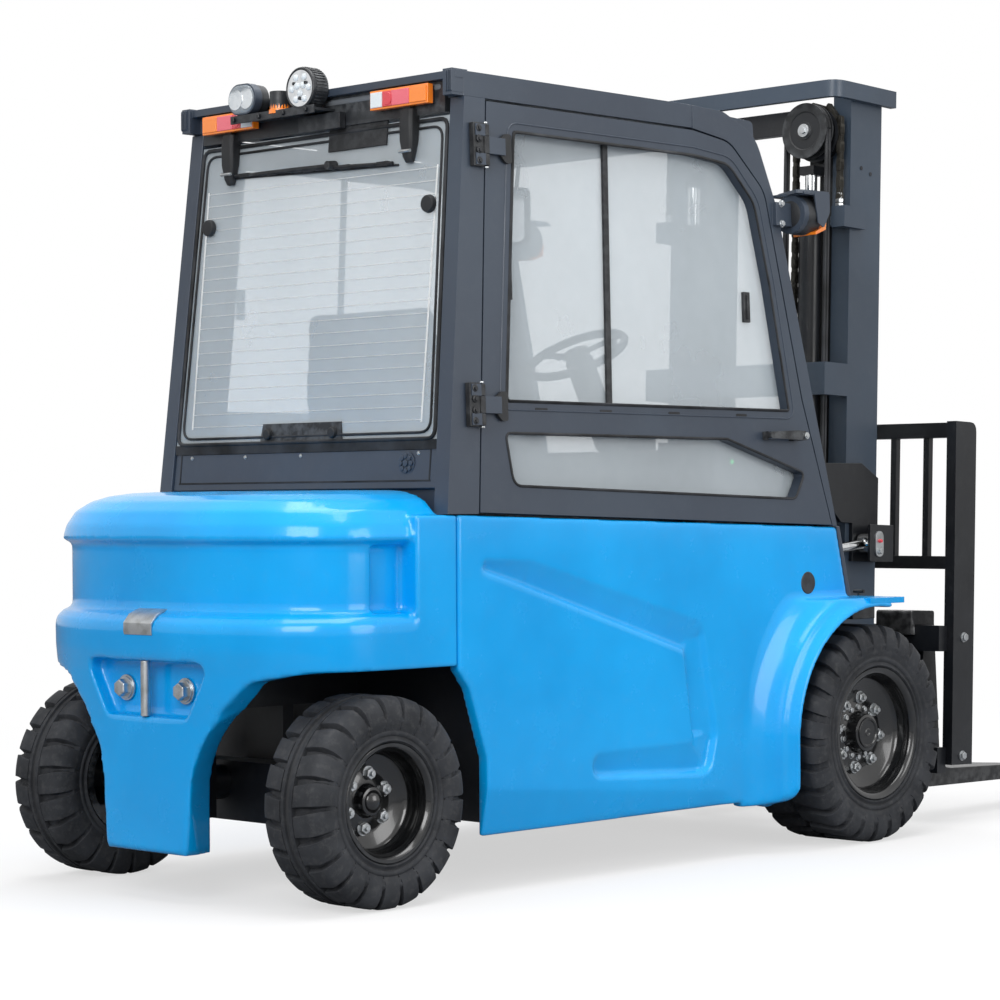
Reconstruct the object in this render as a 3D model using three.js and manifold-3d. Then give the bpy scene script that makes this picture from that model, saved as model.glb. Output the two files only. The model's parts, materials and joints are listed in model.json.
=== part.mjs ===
// A four-wheel electric counterbalance forklift with a closed cab and a two-stage mast.
// Units are millimetres: +X forward, +Y left, +Z up. The sizes below are given from the front axle
// on the ground; the finished truck is then moved so that the middle of its footprint is the origin.
import * as THREE from "three";
import { mergeVertices } from "three/addons/utils/BufferGeometryUtils.js";
import Module from "manifold-3d";

const wasm = await Module();
wasm.setup();

// ---------------------------------------------------------------- driving dimensions
const SEAT_GAP = 0.4; // between pieces that rest on each other
const RUNNING_GAP = 6; // between pieces that move past each other
const BEARING_GAP = 0.95; // round a shaft that turns or slides in its seat

const WHEELBASE = 2120;
const FRONT_WHEEL = {
  radius: 353, width: 300, outerFace: 740, bead: 200, flange: 216, well: 190,
  discDepth: 95, discWall: 16, hubRadius: 62, hubHeight: 42,
};
const REAR_WHEEL = {
  radius: 292, width: 227, outerFace: 676, bead: 152, flange: 166, well: 143,
  discDepth: 112, discWall: 14, hubRadius: 42, hubHeight: 30,
};
const WHEEL_SIDES = 28;
const FLANGE_WALL = 12;
const FLANGE_INSET = 12;

const DRIVE_AXLE = { housing: 95, bulge: 165, bulgeHalf: 130, drum: 150, drumFrom: 455, drumTo: 560, hub: 110 };
const STEER_AXLE = { kingpin: 400, pinRadius: 18, beamHalf: 44, beamLow: 205, beamHigh: 375, trunnion: 50 };

const BODY_HALF = 640; // outer face of the side panels
const PANEL_WALL = 40;
const BODY_REAR = -WHEELBASE - 345;
const SEAM_X = -WHEELBASE + 284; // where the counterweight meets the side panels
const BELT_REAR_Z = 1075; // top edge of the side panels at the seam
const BELT_FRONT_Z = 1024;
const PANEL_REAR_X = -WHEELBASE + 400;
const PANEL_LOW_Z = 160;
const COWL_LOW_X = -39; // foot of the sloping front edge, on the fender
const COWL_SLOPE = 0.2537; // the front edge runs back this much for each unit up
const FENDER = { clearRadius: 412, wall: 24, topZ: 795, frontX: 147, flare: 100, flareDepth: 150, lowZ: 140 };
const FLOOR_Z = 690; // driver's footwell
const DECK_Z = 1040; // battery hood under the seat
const UNDERPAN_Z = 200;
const PAN_WALL = 20;

const CAB_LEAN = 1.9; // degrees that each side of the cab leans inwards
const CAB_BASE_Z = 1075;
const CAB_TOP_Z = 2333;
const BROW_Z = CAB_TOP_Z - 293; // where the front pillars start to curve into the roof
const BEND_Z = CAB_TOP_Z - 273; // where the windscreen bends back
const ROOF_WALL = 22;
const ROOF_RAIL = 62;
const PILLAR_WALL = 55;
const REAR_SLOPE = 0.0972; // the rear pillars run forward this much for each unit up
const REAR_PILLAR_X = SEAM_X - 37; // rear edge at the cab base
const DOOR_REAR_X = SEAM_X + 94; // rear edge of the door at the cab base
const LAMP_REAR_X = REAR_PILLAR_X + 21; // the work lamps on the cab rear edge
const LAMP_FRONT_X = REAR_PILLAR_X + 77;
const DOOR_REAR_SLOPE = 0.0622;
const DOOR_TOP_Z = CAB_TOP_Z - 78;
const DOOR_WALL = 36;
const DOOR_GAP = 6;
const GLASS = 6;
const HINGE_OUT = 14; // hinge pins stand this far outside the door face
const HINGE_BACK = 14; // and this far behind its rear edge
const HINGE_ZS = [CAB_TOP_Z - 208, 1385];

const MAST_LEAN = 2; // degrees forward of upright, as the truck is parked
const RAIL = { rear: 240, front: 412, outer: 400, web: 18, flange: 20, reach: 75, low: -215, high: 2128 };
const INNER = { rear: 266, front: 437, webOuter: 318, webInner: 303, wing: 376, lip: 250, flange: 18,
  low: -180, high: 2100 };
const CROSSBAR = { half: 430, rear: 115, front: 455, wall: 25, low: 2128, high: 2185, corner: 55 };
const LIFT = { y: 262, u: 200, barrel: 38, bore: 24, rod: 22, low: -60, high: 1745 };
const SHEAVE = { y: 287, radius: 92, u: 207, half: 12, w: 2016 };
const HOSE_WHEEL = { y: 270, radius: 80, u: 168, half: 17, w: 2027 };
const CHAIN = { depth: 16, half: 11 };
const HOSE = { depth: 14, half: 14 };
const CARRIAGE = { barRear: 548, barFront: 597, low: -160, high: 345, barHigh: 88, half: 575, plateIn: 190,
  plateOut: 244 };
const BACKREST = { half: 600, post: 40, depth: 120, top: 1050, low: -132, rail: 52, bar: 24, barGap: 140,
  midLow: 540, midHigh: 585 };
const FORK = { y: 400, width: 150, thick: 62, length: 1070, low: -217, tip: 16, hookTop: 395 };
const TILT = { y: 445, pinX: 330, pinZ: 965, pinRadius: 16, eyeRadius: 38, anchorX: -600, anchorZ: 870,
  barrel: 34, rod: 17 };

const RIGHT = { tag: "R", sign: -1 };
const LEFT = { tag: "L", sign: 1 };
const SIDES = [RIGHT, LEFT];
const DEG = Math.PI / 180;

// ---------------------------------------------------------------- finishes
const finish = (color, roughness, metalness = 0) => new THREE.MeshStandardMaterial({ color, roughness, metalness });
const BODY_BLUE = finish(0x1e9be8, 0.25);
const CAB_GREY = finish(0x3b4450, 0.45);
const FRAME_BLACK = finish(0x17191c, 0.5);
const TYRE_BLACK = finish(0x26282a, 0.9);
const RIM_BLACK = finish(0x101113, 0.35);
const STEEL = finish(0xb9bcbf, 0.3, 0.9);
const CHROME = finish(0xd8dadd, 0.12, 1);
const WINDOW = new THREE.MeshStandardMaterial({ color: 0xc8d4d8, roughness: 0.05, transparent: true,
  opacity: 0.35 });
const SEAT_GREY = finish(0x4b5157, 0.8);
const TRIM_BLACK = finish(0x1e2023, 0.6);

// ---------------------------------------------------------------- shape helpers

/** A closed geometry as a solid that can be joined and cut, with its faces turned outwards. */
function solidOf(geometry) {
  const source = geometry.index ? geometry.toNonIndexed() : geometry;
  const bare = new THREE.BufferGeometry().setAttribute("position", source.getAttribute("position"));
  const merged = mergeVertices(bare, 1e-3);
  const corners = merged.index.array;
  const kept = [];
  for (let i = 0; i < corners.length; i += 3) {
    const [a, b, c] = [corners[i], corners[i + 1], corners[i + 2]];
    if (a !== b && b !== c && a !== c) kept.push(a, b, c);
  }
  const build = (triVerts) =>
    new wasm.Manifold(new wasm.Mesh({ numProp: 3, vertProperties: merged.attributes.position.array, triVerts }));
  const solid = build(new Uint32Array(kept));
  if (solid.volume() > 0) return solid;
  for (let i = 0; i < kept.length; i += 3) [kept[i], kept[i + 1]] = [kept[i + 1], kept[i]];
  return build(new Uint32Array(kept));
}

/** A solid as a geometry for a mesh. */
function geometryOf(solid) {
  const { numProp, numVert, vertProperties, triVerts } = solid.getMesh();
  const positions = new Float32Array(numVert * 3);
  for (let i = 0; i < numVert; i++) {
    positions.set(vertProperties.subarray(i * numProp, i * numProp + 3), i * 3);
  }
  const geometry = new THREE.BufferGeometry();
  geometry.setAttribute("position", new THREE.BufferAttribute(positions, 3));
  geometry.setIndex(new THREE.BufferAttribute(triVerts, 1));
  geometry.computeVertexNormals();
  return geometry;
}

const join = (...solids) => solids.reduce((sum, one) => sum.add(one));
const cut = (solid, ...tools) => tools.reduce((rest, tool) => rest.subtract(tool), solid);
const moved = (solid, x, y, z) => solid.translate([x, y, z]);
/** The same solid on the other side of the truck when the side is the left one. */
const sided = (solid, side) => (side.sign > 0 ? solid.mirror([0, 1, 0]) : solid);

/** A straight-sided block between two values along each axis. */
function block([x0, x1], [y0, y1], [z0, z1]) {
  const box = new THREE.BoxGeometry(x1 - x0, y1 - y0, z1 - z0);
  box.translate((x0 + x1) / 2, (y0 + y1) / 2, (z0 + z1) / 2);
  return solidOf(box);
}

/** An outline as 2-D points: each corner is [a, b] or [a, b, radius], and a radius rounds it. */
function outline(corners, steps = 4) {
  const points = [];
  corners.forEach(([a, b, radius = 0], i) => {
    const here = new THREE.Vector2(a, b);
    if (!radius) {
      points.push(here);
      return;
    }
    const [pa, pb] = corners.at(i - 1);
    const [na, nb] = corners[(i + 1) % corners.length];
    const back = new THREE.Vector2(pa - a, pb - b).normalize();
    const ahead = new THREE.Vector2(na - a, nb - b).normalize();
    const half = Math.acos(THREE.MathUtils.clamp(back.dot(ahead), -1, 1)) / 2;
    const edge = Math.min(Math.hypot(pa - a, pb - b), Math.hypot(na - a, nb - b));
    const run = Math.min(radius / Math.tan(half), edge * 0.48);
    const from = here.clone().addScaledVector(back, run);
    const to = here.clone().addScaledVector(ahead, run);
    const curve = new THREE.QuadraticBezierCurve(from, here, to);
    points.push(...curve.getPoints(steps));
  });
  return points;
}

/** An outline pushed along X, Y or Z: the outline lies in the other two axes, in X, Y, Z order. */
function prism(axis, corners, from, to) {
  const shape = new THREE.Shape(outline(corners));
  const geometry = new THREE.ExtrudeGeometry(shape, { depth: to - from, bevelEnabled: false });
  const basis = {
    x: [new THREE.Vector3(0, 1, 0), new THREE.Vector3(0, 0, 1), new THREE.Vector3(1, 0, 0)],
    y: [new THREE.Vector3(1, 0, 0), new THREE.Vector3(0, 0, 1), new THREE.Vector3(0, 1, 0)],
    z: [new THREE.Vector3(1, 0, 0), new THREE.Vector3(0, 1, 0), new THREE.Vector3(0, 0, 1)],
  }[axis];
  geometry.applyMatrix4(new THREE.Matrix4().makeBasis(...basis));
  geometry.translate(...basis[2].clone().multiplyScalar(from).toArray());
  return solidOf(geometry);
}

/** A round bar from one point to another. */
function rod(from, to, radius, sides = 16) {
  const a = new THREE.Vector3(...from);
  const b = new THREE.Vector3(...to);
  const bar = new THREE.CylinderGeometry(radius, radius, a.distanceTo(b), sides);
  const turn = new THREE.Quaternion().setFromUnitVectors(
    new THREE.Vector3(0, 1, 0),
    b.clone().sub(a).normalize(),
  );
  bar.applyQuaternion(turn);
  bar.translate(...a.add(b).multiplyScalar(0.5).toArray());
  return solidOf(bar);
}

/** A profile of [radius, distance along the Y axis] turned round that axis. */
function turned(profile, sides = 40) {
  const points = profile.map(([r, s]) => new THREE.Vector2(r, s));
  points.push(points[0].clone());
  return solidOf(new THREE.LatheGeometry(points, sides));
}

/** A skin through rings of equal point counts, closed by a fan over each end ring. */
function loft(rings) {
  const count = rings[0].length;
  const faces = [];
  const quad = (a, b, c, d) => faces.push(a, b, c, a, c, d);
  for (let i = 0; i + 1 < rings.length; i++) {
    for (let j = 0; j < count; j++) {
      const k = (j + 1) % count;
      quad(rings[i][j], rings[i][k], rings[i + 1][k], rings[i + 1][j]);
    }
  }
  const cap = (ring, flip) => {
    const middle = ring.reduce((sum, p) => sum.add(p), new THREE.Vector3()).divideScalar(count);
    for (let j = 0; j < count; j++) {
      const k = (j + 1) % count;
      faces.push(middle, flip ? ring[k] : ring[j], flip ? ring[j] : ring[k]);
    }
  };
  cap(rings[0], true);
  cap(rings.at(-1), false);
  const geometry = new THREE.BufferGeometry().setFromPoints(faces);
  return solidOf(geometry);
}

const truck = new THREE.Group();

/** Adds a named mesh of a solid to a group. */
function place(name, solid, material, group = truck) {
  const mesh = new THREE.Mesh(geometryOf(solid), material);
  mesh.name = name;
  group.add(mesh);
  return mesh;
}

// ---------------------------------------------------------------- wheels

/** A solid tyre; s runs from the outer face inwards along Y. */
function tyre({ radius, width, bead, flange }) {
  const seat = FLANGE_INSET + FLANGE_WALL + SEAT_GAP;
  const half = [
    [bead, seat],
    [flange + SEAT_GAP, seat],
    [flange + SEAT_GAP, FLANGE_INSET + 1],
    [radius - 70, 0],
    [radius - 26, 5],
    [radius, 30],
  ];
  const mirrored = half.map(([r, s]) => [r, width - s]).reverse();
  return turned([...half, ...mirrored], WHEEL_SIDES);
}

/** A dished rim with its hub boss on the outside of the disc. */
function rim({ width, bead, flange, well, discDepth, discWall, hubRadius, hubHeight }) {
  const lip = FLANGE_INSET + FLANGE_WALL;
  return turned(
    [
      [well, FLANGE_INSET],
      [flange, FLANGE_INSET],
      [flange, lip],
      [bead - SEAT_GAP, lip],
      [bead - SEAT_GAP, width - lip],
      [flange, width - lip],
      [flange, width - FLANGE_INSET],
      [well, width - FLANGE_INSET],
      [well, discDepth + discWall],
      [0, discDepth + discWall],
      [0, discDepth - hubHeight],
      [hubRadius - 10, discDepth - hubHeight],
      [hubRadius, discDepth - hubHeight + 8],
      [hubRadius, discDepth],
      [well, discDepth],
    ],
    WHEEL_SIDES,
  );
}

for (const side of SIDES) {
  for (const [label, wheel, x] of [["front", FRONT_WHEEL, 0], ["rear", REAR_WHEEL, -WHEELBASE]]) {
    const corner = new THREE.Group();
    corner.position.set(x, side.sign * wheel.outerFace, wheel.radius);
    corner.rotation.z = side.sign > 0 ? Math.PI : 0;
    truck.add(corner);
    place(`${label}_tyre_${side.tag}`, tyre(wheel), TYRE_BLACK, corner);
    place(`${label}_rim_${side.tag}`, rim(wheel), RIM_BLACK, corner);
  }
}

// ---------------------------------------------------------------- axles

const frontHubFace = FRONT_WHEEL.outerFace - FRONT_WHEEL.discDepth - FRONT_WHEEL.discWall - SEAT_GAP;
const rearHubFace = REAR_WHEEL.outerFace - REAR_WHEEL.discDepth - REAR_WHEEL.discWall - SEAT_GAP;
const FRAME_ARM = { inner: 232, outer: 300, reach: 130 };

function driveAxle() {
  const { housing, bulge, bulgeHalf, drum, drumFrom, drumTo, hub } = DRIVE_AXLE;
  const half = [
    [0, frontHubFace],
    [hub, frontHubFace],
    [hub, drumTo],
    [drum, drumTo - 8],
    [drum, drumFrom + 8],
    [housing, drumFrom],
    [housing, bulgeHalf + 60],
    [bulge - 20, bulgeHalf - 20],
    [bulge, bulgeHalf - 70],
  ];
  const other = half.map(([r, s]) => [r, -s]).reverse();
  return moved(turned([...half, ...other], 28), 0, 0, FRONT_WHEEL.radius);
}
place("drive_axle", driveAxle(), FRAME_BLACK);

function steerAxle() {
  const { kingpin, beamHalf, beamLow, beamHigh, trunnion } = STEER_AXLE;
  const mid = REAR_WHEEL.radius;
  const beam = prism("x", [
    [-330, beamLow, 20], [330, beamLow, 20], [kingpin - 52, mid - 58], [kingpin - 52, mid + 58],
    [330, beamHigh, 20], [-330, beamHigh, 20], [52 - kingpin, mid + 58], [52 - kingpin, mid - 58],
  ], -beamHalf, beamHalf);
  const ends = SIDES.map(({ sign }) =>
    rod([0, sign * kingpin, mid - 60], [0, sign * kingpin, mid + 60], beamHalf - 4, 20));
  const webs = SIDES.map(({ sign }) =>
    block([-beamHalf + 6, beamHalf - 6], [Math.min(sign * (kingpin - 60), sign * kingpin),
      Math.max(sign * (kingpin - 60), sign * kingpin)], [mid - 60, mid + 60]));
  const pins = SIDES.map(({ sign }) =>
    rod([0, sign * kingpin, mid - 98], [0, sign * kingpin, mid + 98], STEER_AXLE.pinRadius, 16));
  const hinge = rod([-150, 0, mid + 20], [150, 0, mid + 20], trunnion, 24);
  const cylinder = rod([beamHalf + 30, -200, mid - 30], [beamHalf + 30, 200, mid - 30], 34, 18);
  const cylinderRod = rod([beamHalf + 30, -250, mid - 30], [beamHalf + 30, 250, mid - 30], 16, 12);
  return moved(join(beam, ...ends, ...webs, ...pins, hinge, cylinder, cylinderRod), -WHEELBASE, 0, 0);
}
place("steer_axle", steerAxle(), FRAME_BLACK);

/** The right knuckle: a fork round the axle end, and the spindle that carries the wheel. */
function knuckle() {
  const { kingpin, beamHalf, pinRadius } = STEER_AXLE;
  const mid = REAR_WHEEL.radius;
  const ears = [[mid + 61, mid + 95], [mid - 95, mid - 61]].map(([low, high]) =>
    join(
      rod([0, -kingpin, low], [0, -kingpin, high], beamHalf - 2, 24),
      block([-34, 34], [-kingpin - 78, -kingpin], [low, high]),
    ));
  const post = block([-40, 40], [-kingpin - 80, -kingpin - 46], [mid - 95, mid + 95]);
  const spindle = rod([0, -kingpin - 78, mid], [0, -rearHubFace, mid], 50, 28);
  const bore = rod([0, -kingpin, mid - 120], [0, -kingpin, mid + 120], pinRadius + SEAT_GAP, 16);
  return moved(cut(join(...ears, post, spindle), bore), -WHEELBASE, 0, 0);
}
for (const side of SIDES) place(`knuckle_${side.tag}`, sided(knuckle(), side), FRAME_BLACK);

// ---------------------------------------------------------------- counterweight

const CASTING = {
  low: 136, ledge: 790, crease: 1010, top: 1146, bandInset: 62, cornerX: -WHEELBASE + 5,
  archTop: 646, tailHalf: 165, fullness: 2.6, keelFront: -WHEELBASE - 210,
};

/** The plan outline of the casting at a height: full width at the seam, full round at the rear. */
function castingRing(z, { rear, half, corner = CASTING.cornerX, front = SEAM_X - SEAT_GAP }) {
  const ring = [new THREE.Vector3(front, half, z)];
  const steps = 20;
  for (let i = 0; i <= steps; i++) {
    const t = (Math.PI * i) / steps - Math.PI / 2;
    const across = Math.sign(Math.sin(t)) * Math.abs(Math.sin(t)) ** (2 / CASTING.fullness);
    const back = Math.cos(t) ** (2 / CASTING.fullness);
    ring.push(new THREE.Vector3(corner + (rear - corner) * back, -half * across, z));
  }
  ring.push(new THREE.Vector3(front, -half, z));
  return ring;
}

/** Levels of a steered tyre: from, to, and the tyre's half length there. */
const STEERED_TYRE = [[0, 430, 292], [428, 504, 258], [502, 545, 203], [543, 600, 146]];
const STEER_LIMIT = 70; // degrees each way
const TYRE_GAP = 7;

/** What a level of the steered right tyre passes through behind its kingpin, out to its steering limit. */
function steeredTyreSpace(from, to, reach) {
  const radius = Math.hypot(reach, REAR_WHEEL.outerFace - STEER_AXLE.kingpin) + TYRE_GAP;
  const beyond = block([-radius, radius], [reach + TYRE_GAP, 2 * radius], [from - 1, to + 1])
    .rotate([0, 0, 90 - STEER_LIMIT]);
  return cut(rod([0, 0, from], [0, 0, to], radius, 48), beyond).translate([-WHEELBASE, -STEER_AXLE.kingpin, 0]);
}

function counterweight() {
  const { low, ledge, crease, top, bandInset, archTop, tailHalf, keelFront } = CASTING;
  const lower = loft([
    castingRing(low, { rear: BODY_REAR + 4, half: BODY_HALF }),
    castingRing(500, { rear: BODY_REAR + 18, half: BODY_HALF }),
    castingRing(ledge - 90, { rear: BODY_REAR + 6, half: BODY_HALF }),
    castingRing(ledge - 22, { rear: BODY_REAR, half: BODY_HALF }),
    castingRing(ledge, { rear: BODY_REAR + 22, half: BODY_HALF - 10 }),
  ]);
  const shoulder = block([SEAM_X - 160, SEAM_X - SEAT_GAP], [-BODY_HALF, BODY_HALF], [ledge - 60, BELT_REAR_Z]);
  const bandRear = BODY_REAR + bandInset;
  const band = loft([
    castingRing(ledge - 60, { rear: bandRear, half: BODY_HALF - 40 }),
    castingRing(crease - 14, { rear: bandRear - 4, half: BODY_HALF - 40 }),
    castingRing(crease, { rear: bandRear - 22, half: BODY_HALF - 22 }),
    castingRing(crease + 50, { rear: bandRear - 12, half: BODY_HALF - 34 }),
    castingRing(crease + 100, { rear: bandRear + 26, half: BODY_HALF - 70, corner: -WHEELBASE + 60 }),
    castingRing(top - 10, { rear: bandRear + 78, half: BODY_HALF - 120, corner: -WHEELBASE + 90 }),
    castingRing(top, { rear: bandRear + 140, half: BODY_HALF - 170, corner: -WHEELBASE + 120 }),
  ]);
  const arch = prism("x", [
    [-900, archTop + 10], [-900, 0], [-tailHalf, 0], [-tailHalf - 27, 300, 80], [-tailHalf - 71, 405, 80],
    [-tailHalf - 135, 535, 80], [-tailHalf - 235, 622, 80], [-tailHalf - 395, archTop + 4, 100],
  ], BODY_REAR - 100, SEAM_X + 100);
  const axleSpace = block([keelFront, SEAM_X + 100], [-900, 900], [0, archTop]);
  const sweep = join(...STEERED_TYRE.map(([from, to, reach]) => steeredTyreSpace(from, to, reach)));
  const recess = prism("x", [
    [-176, 515, 12], [176, 515, 12], [253, 640, 20], [240, 672, 12], [-240, 672, 12], [-253, 640, 20],
  ], BODY_REAR - 40, BODY_REAR + 75);
  const cabFoot = block([SEAM_X - 45, SEAM_X + 10], [-BODY_HALF - 10, BODY_HALF + 10], [BELT_REAR_Z - SEAT_GAP,
    top + 100]);
  const body = join(lower, shoulder, band);
  return cut(body, arch, arch.mirror([0, 1, 0]), axleSpace, sweep, sweep.mirror([0, 1, 0]), recess, cabFoot);
}
place("counterweight", counterweight(), BODY_BLUE);

const towX = BODY_REAR + 30;
place("tow_pin", rod([towX, 0, 515 + SEAT_GAP], [towX, 0, 672 - SEAT_GAP], 14, 16), STEEL);

// ---------------------------------------------------------------- side panels and fenders

/** Distance back from the truck's front edge of the cowl at a height. */
const cowlX = (z) => COWL_LOW_X - (z - FENDER.topZ) * COWL_SLOPE;

/** The right side panel: a flat wall with the front fender flared out of it. */
function sidePanel() {
  const { clearRadius, wall, topZ, frontX, flare, flareDepth, lowZ } = FENDER;
  const axleZ = FRONT_WHEEL.radius;
  const outer = -BODY_HALF;
  const wallPanel = prism("y", [
    [SEAM_X, BELT_REAR_Z], [SEAM_X, 641, 10], [SEAM_X + 48, 582, 60], [PANEL_REAR_X, 380, 60], [PANEL_REAR_X,
      PANEL_LOW_Z],
    [-clearRadius - flareDepth, PANEL_LOW_Z + 8], [-clearRadius - 40, lowZ], [-clearRadius - 40, axleZ],
    [-300, 700, 100], [-40, topZ - 5], [COWL_LOW_X, topZ], [cowlX(BELT_FRONT_Z), BELT_FRONT_Z],
  ], outer, outer + PANEL_WALL);
  const path = [];
  const steps = 10;
  path.push([frontX, topZ - wall - axleZ - 0, Math.PI / 2]);
  for (let i = 0; i <= steps; i++) {
    const angle = Math.PI / 2 + (Math.PI / 2) * (i / steps);
    path.push([clearRadius * Math.cos(angle), clearRadius * Math.sin(angle) + 6, angle]);
  }
  path.push([-clearRadius - 12, lowZ - axleZ, Math.PI]);
  const rings = path.map(([x, dz, angle], i) => {
    const spread = i === 0 ? 0 : Math.min(1, (i - 0.5) / (steps * 0.5));
    const reach = wall + (flareDepth - wall) * spread;
    const section = [
      [0, outer - flare], [wall, outer - flare], [wall + 0.35 * (reach - wall),
        outer - flare * (1 - 0.35 * spread)],
      [wall + 0.7 * (reach - wall), outer - flare * (1 - 0.85 * spread)], [wall + (reach - wall),
        outer + 1 - (flare - 1) * (1 - spread)],
      [wall, outer + PANEL_WALL], [0, outer + PANEL_WALL],
    ];
    return section.map(([n, y]) =>
      new THREE.Vector3(x + n * Math.cos(angle), y, axleZ + dz + n * Math.sin(angle)));
  });
  const fender = loft(rings);
  const shelf = block([-clearRadius * 0.5, frontX], [outer - flare + 0, -408], [topZ - wall, topZ]);
  const tyreSpace = rod([0, -900, axleZ], [0, -300, axleZ], clearRadius - 20, 48);
  const anchor = rod([TILT.anchorX, outer + PANEL_WALL - 5, TILT.anchorZ], [TILT.anchorX, -TILT.y + 34,
    TILT.anchorZ], 18, 16);
  return join(cut(join(wallPanel, fender, shelf), tyreSpace), anchor);
}
for (const side of SIDES) place(`side_panel_${side.tag}`, sided(sidePanel(), side), BODY_BLUE);

// ---------------------------------------------------------------- chassis, battery and floor

const INSIDE = BODY_HALF - PANEL_WALL - SEAT_GAP; // half width between the side panels
const PAN_REAR_X = PANEL_REAR_X + 10;
const PAN_FRONT_X = -450;

function chassis() {
  const pan = block([PAN_REAR_X, PAN_FRONT_X], [-INSIDE, INSIDE], [UNDERPAN_Z, UNDERPAN_Z + PAN_WALL]);
  const rear = block([PAN_REAR_X, PAN_REAR_X + PAN_WALL], [-INSIDE, INSIDE], [UNDERPAN_Z, DECK_Z - 30]);
  const front = block([PAN_FRONT_X - PAN_WALL, PAN_FRONT_X], [-INSIDE, INSIDE], [UNDERPAN_Z, FLOOR_Z - 40]);
  const axleZ = FRONT_WHEEL.radius;
  const arms = SIDES.map(({ sign }) => {
    const [a, b] = [sign * FRAME_ARM.inner, sign * FRAME_ARM.outer].sort((p, q) => p - q);
    const arm = prism("y", [
      [PAN_FRONT_X - 5, UNDERPAN_Z], [-60, axleZ - FRAME_ARM.reach, 30], [FRAME_ARM.reach - 20,
        axleZ - FRAME_ARM.reach, 40],
      [FRAME_ARM.reach - 20, axleZ + FRAME_ARM.reach, 40], [PAN_FRONT_X - 5, FLOOR_Z - 42],
    ], a, b);
    return cut(arm, rod([0, a - 5, axleZ], [0, b + 5, axleZ], DRIVE_AXLE.housing + SEAT_GAP, 28));
  });
  const mid = REAR_WHEEL.radius + 20;
  const spine = join(
    block([CASTING.keelFront + SEAT_GAP, PAN_REAR_X + 5], [-90, 90], [CASTING.archTop - 120,
      CASTING.archTop - SEAT_GAP]),
    block([-WHEELBASE + 126, -WHEELBASE + 166], [-80, 80], [mid - 90, CASTING.archTop - 60]),
    block([-WHEELBASE - 166, -WHEELBASE - 126], [-80, 80], [mid - 90, CASTING.archTop - 60]),
  );
  const hinge = rod([-WHEELBASE - 200, 0, mid], [-WHEELBASE + 200, 0, mid], STEER_AXLE.trunnion + SEAT_GAP, 24);
  return join(pan, rear, front, ...arms, cut(spine, hinge));
}
place("chassis_frame", chassis(), FRAME_BLACK);

const BATTERY = { rear: -1660, front: -840, half: 560, low: UNDERPAN_Z + PAN_WALL + SEAT_GAP, high: DECK_Z - 40 };
place("battery_block",
  block([BATTERY.rear, BATTERY.front], [-BATTERY.half, BATTERY.half], [BATTERY.low, BATTERY.high]), FRAME_BLACK);

const FOOTWELL = { rear: -820, half: 372, wall: 10, front: -120, ledge: 1016 };

const SILL_Z = 1100; // foot of the windscreen

/** Battery hood, riser, footwell floor with its side boxes, and the sloping front wall. */
function cabFloor() {
  const { rear, half, wall, ledge } = FOOTWELL;
  const wide = INSIDE - 1;
  const deck = block([PAN_REAR_X + PAN_WALL + 1, rear + wall], [-wide, wide], [DECK_Z - 14, DECK_Z]);
  const riser = block([rear, rear + wall], [-wide, wide], [FLOOR_Z, DECK_Z]);
  const floor = block([rear, FOOTWELL.front], [-half, half], [FLOOR_Z, FLOOR_Z + wall]);
  const boxes = SIDES.map(({ sign }) => join(
    block([rear, cowlX(ledge) - 22], [sign * half, sign * (half - wall)].sort((p, q) => p - q), [FLOOR_Z, ledge]),
    block([rear, cowlX(ledge) - 22], [sign * half, sign * wide].sort((p, q) => p - q), [ledge - wall, ledge]),
  ));
  const lean = (z) => cowlX(z) - 8;
  const front = prism("y", [
    [lean(FLOOR_Z), FLOOR_Z], [lean(SILL_Z), SILL_Z], [lean(SILL_Z) - 22, SILL_Z], [lean(FLOOR_Z) - 22, FLOOR_Z],
  ], -wide, wide);
  const overFender = SIDES.map(({ sign }) => block(
    [-400, 60], [sign * 404, sign * 900].sort((p, q) => p - q), [FLOOR_Z - 60, FENDER.topZ + SEAT_GAP]));
  const betweenPillars = SIDES.map(({ sign }) => block(
    [-400, 60], [sign * (BODY_HALF - PILLAR_WALL - 4), sign * 900].sort((p, q) => p - q), [BELT_FRONT_Z - 4,
      SILL_Z + 50]));
  const ports = SIDES.map(({ sign }) => block(
    [-300, 60], [sign * TILT.y - 62, sign * TILT.y + 62], [TILT.pinZ - 130, TILT.pinZ + 50]));
  return cut(join(deck, riser, floor, ...boxes, front, block([FOOTWELL.front - 5, lean(FLOOR_Z) - 6], [-half,
    half], [FLOOR_Z, FLOOR_Z + wall])), ...ports, ...overFender, ...betweenPillars);
}
place("cab_floor", cabFloor(), FRAME_BLACK);

// ---------------------------------------------------------------- cab

/** A group whose upright plane is one leaning side of the cab: local Z starts at the cab base. */
function cabSide(side) {
  const group = new THREE.Group();
  group.position.set(0, side.sign * BODY_HALF, CAB_BASE_Z);
  group.rotation.x = side.sign * CAB_LEAN * DEG;
  truck.add(group);
  return group;
}
const cabGroups = new Map(SIDES.map((side) => [side, cabSide(side)]));
const local = (corners) => corners.map(([x, z, r]) => [x, z - CAB_BASE_Z, r]);

const rearPillarX = (z) => REAR_PILLAR_X + (z - CAB_BASE_Z) * REAR_SLOPE;
const doorRearX = (z) => DOOR_REAR_X + (z - CAB_BASE_Z) * DOOR_REAR_SLOPE;
const WINDSCREEN_TOP_Z = CAB_TOP_Z - 83;
/** A place a distance behind the cowl's line, a depth below the cab top, in whole millimetres. */
const behindCowl = (below, back) => Math.round(COWL_LOW_X - (CAB_TOP_Z - below - FENDER.topZ) * COWL_SLOPE - back);
const KNEE_X = -760; // where the roof rails meet the curved front pillars
const RAIL_LOW_Z = DOOR_TOP_Z + DOOR_GAP + 1;

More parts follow.
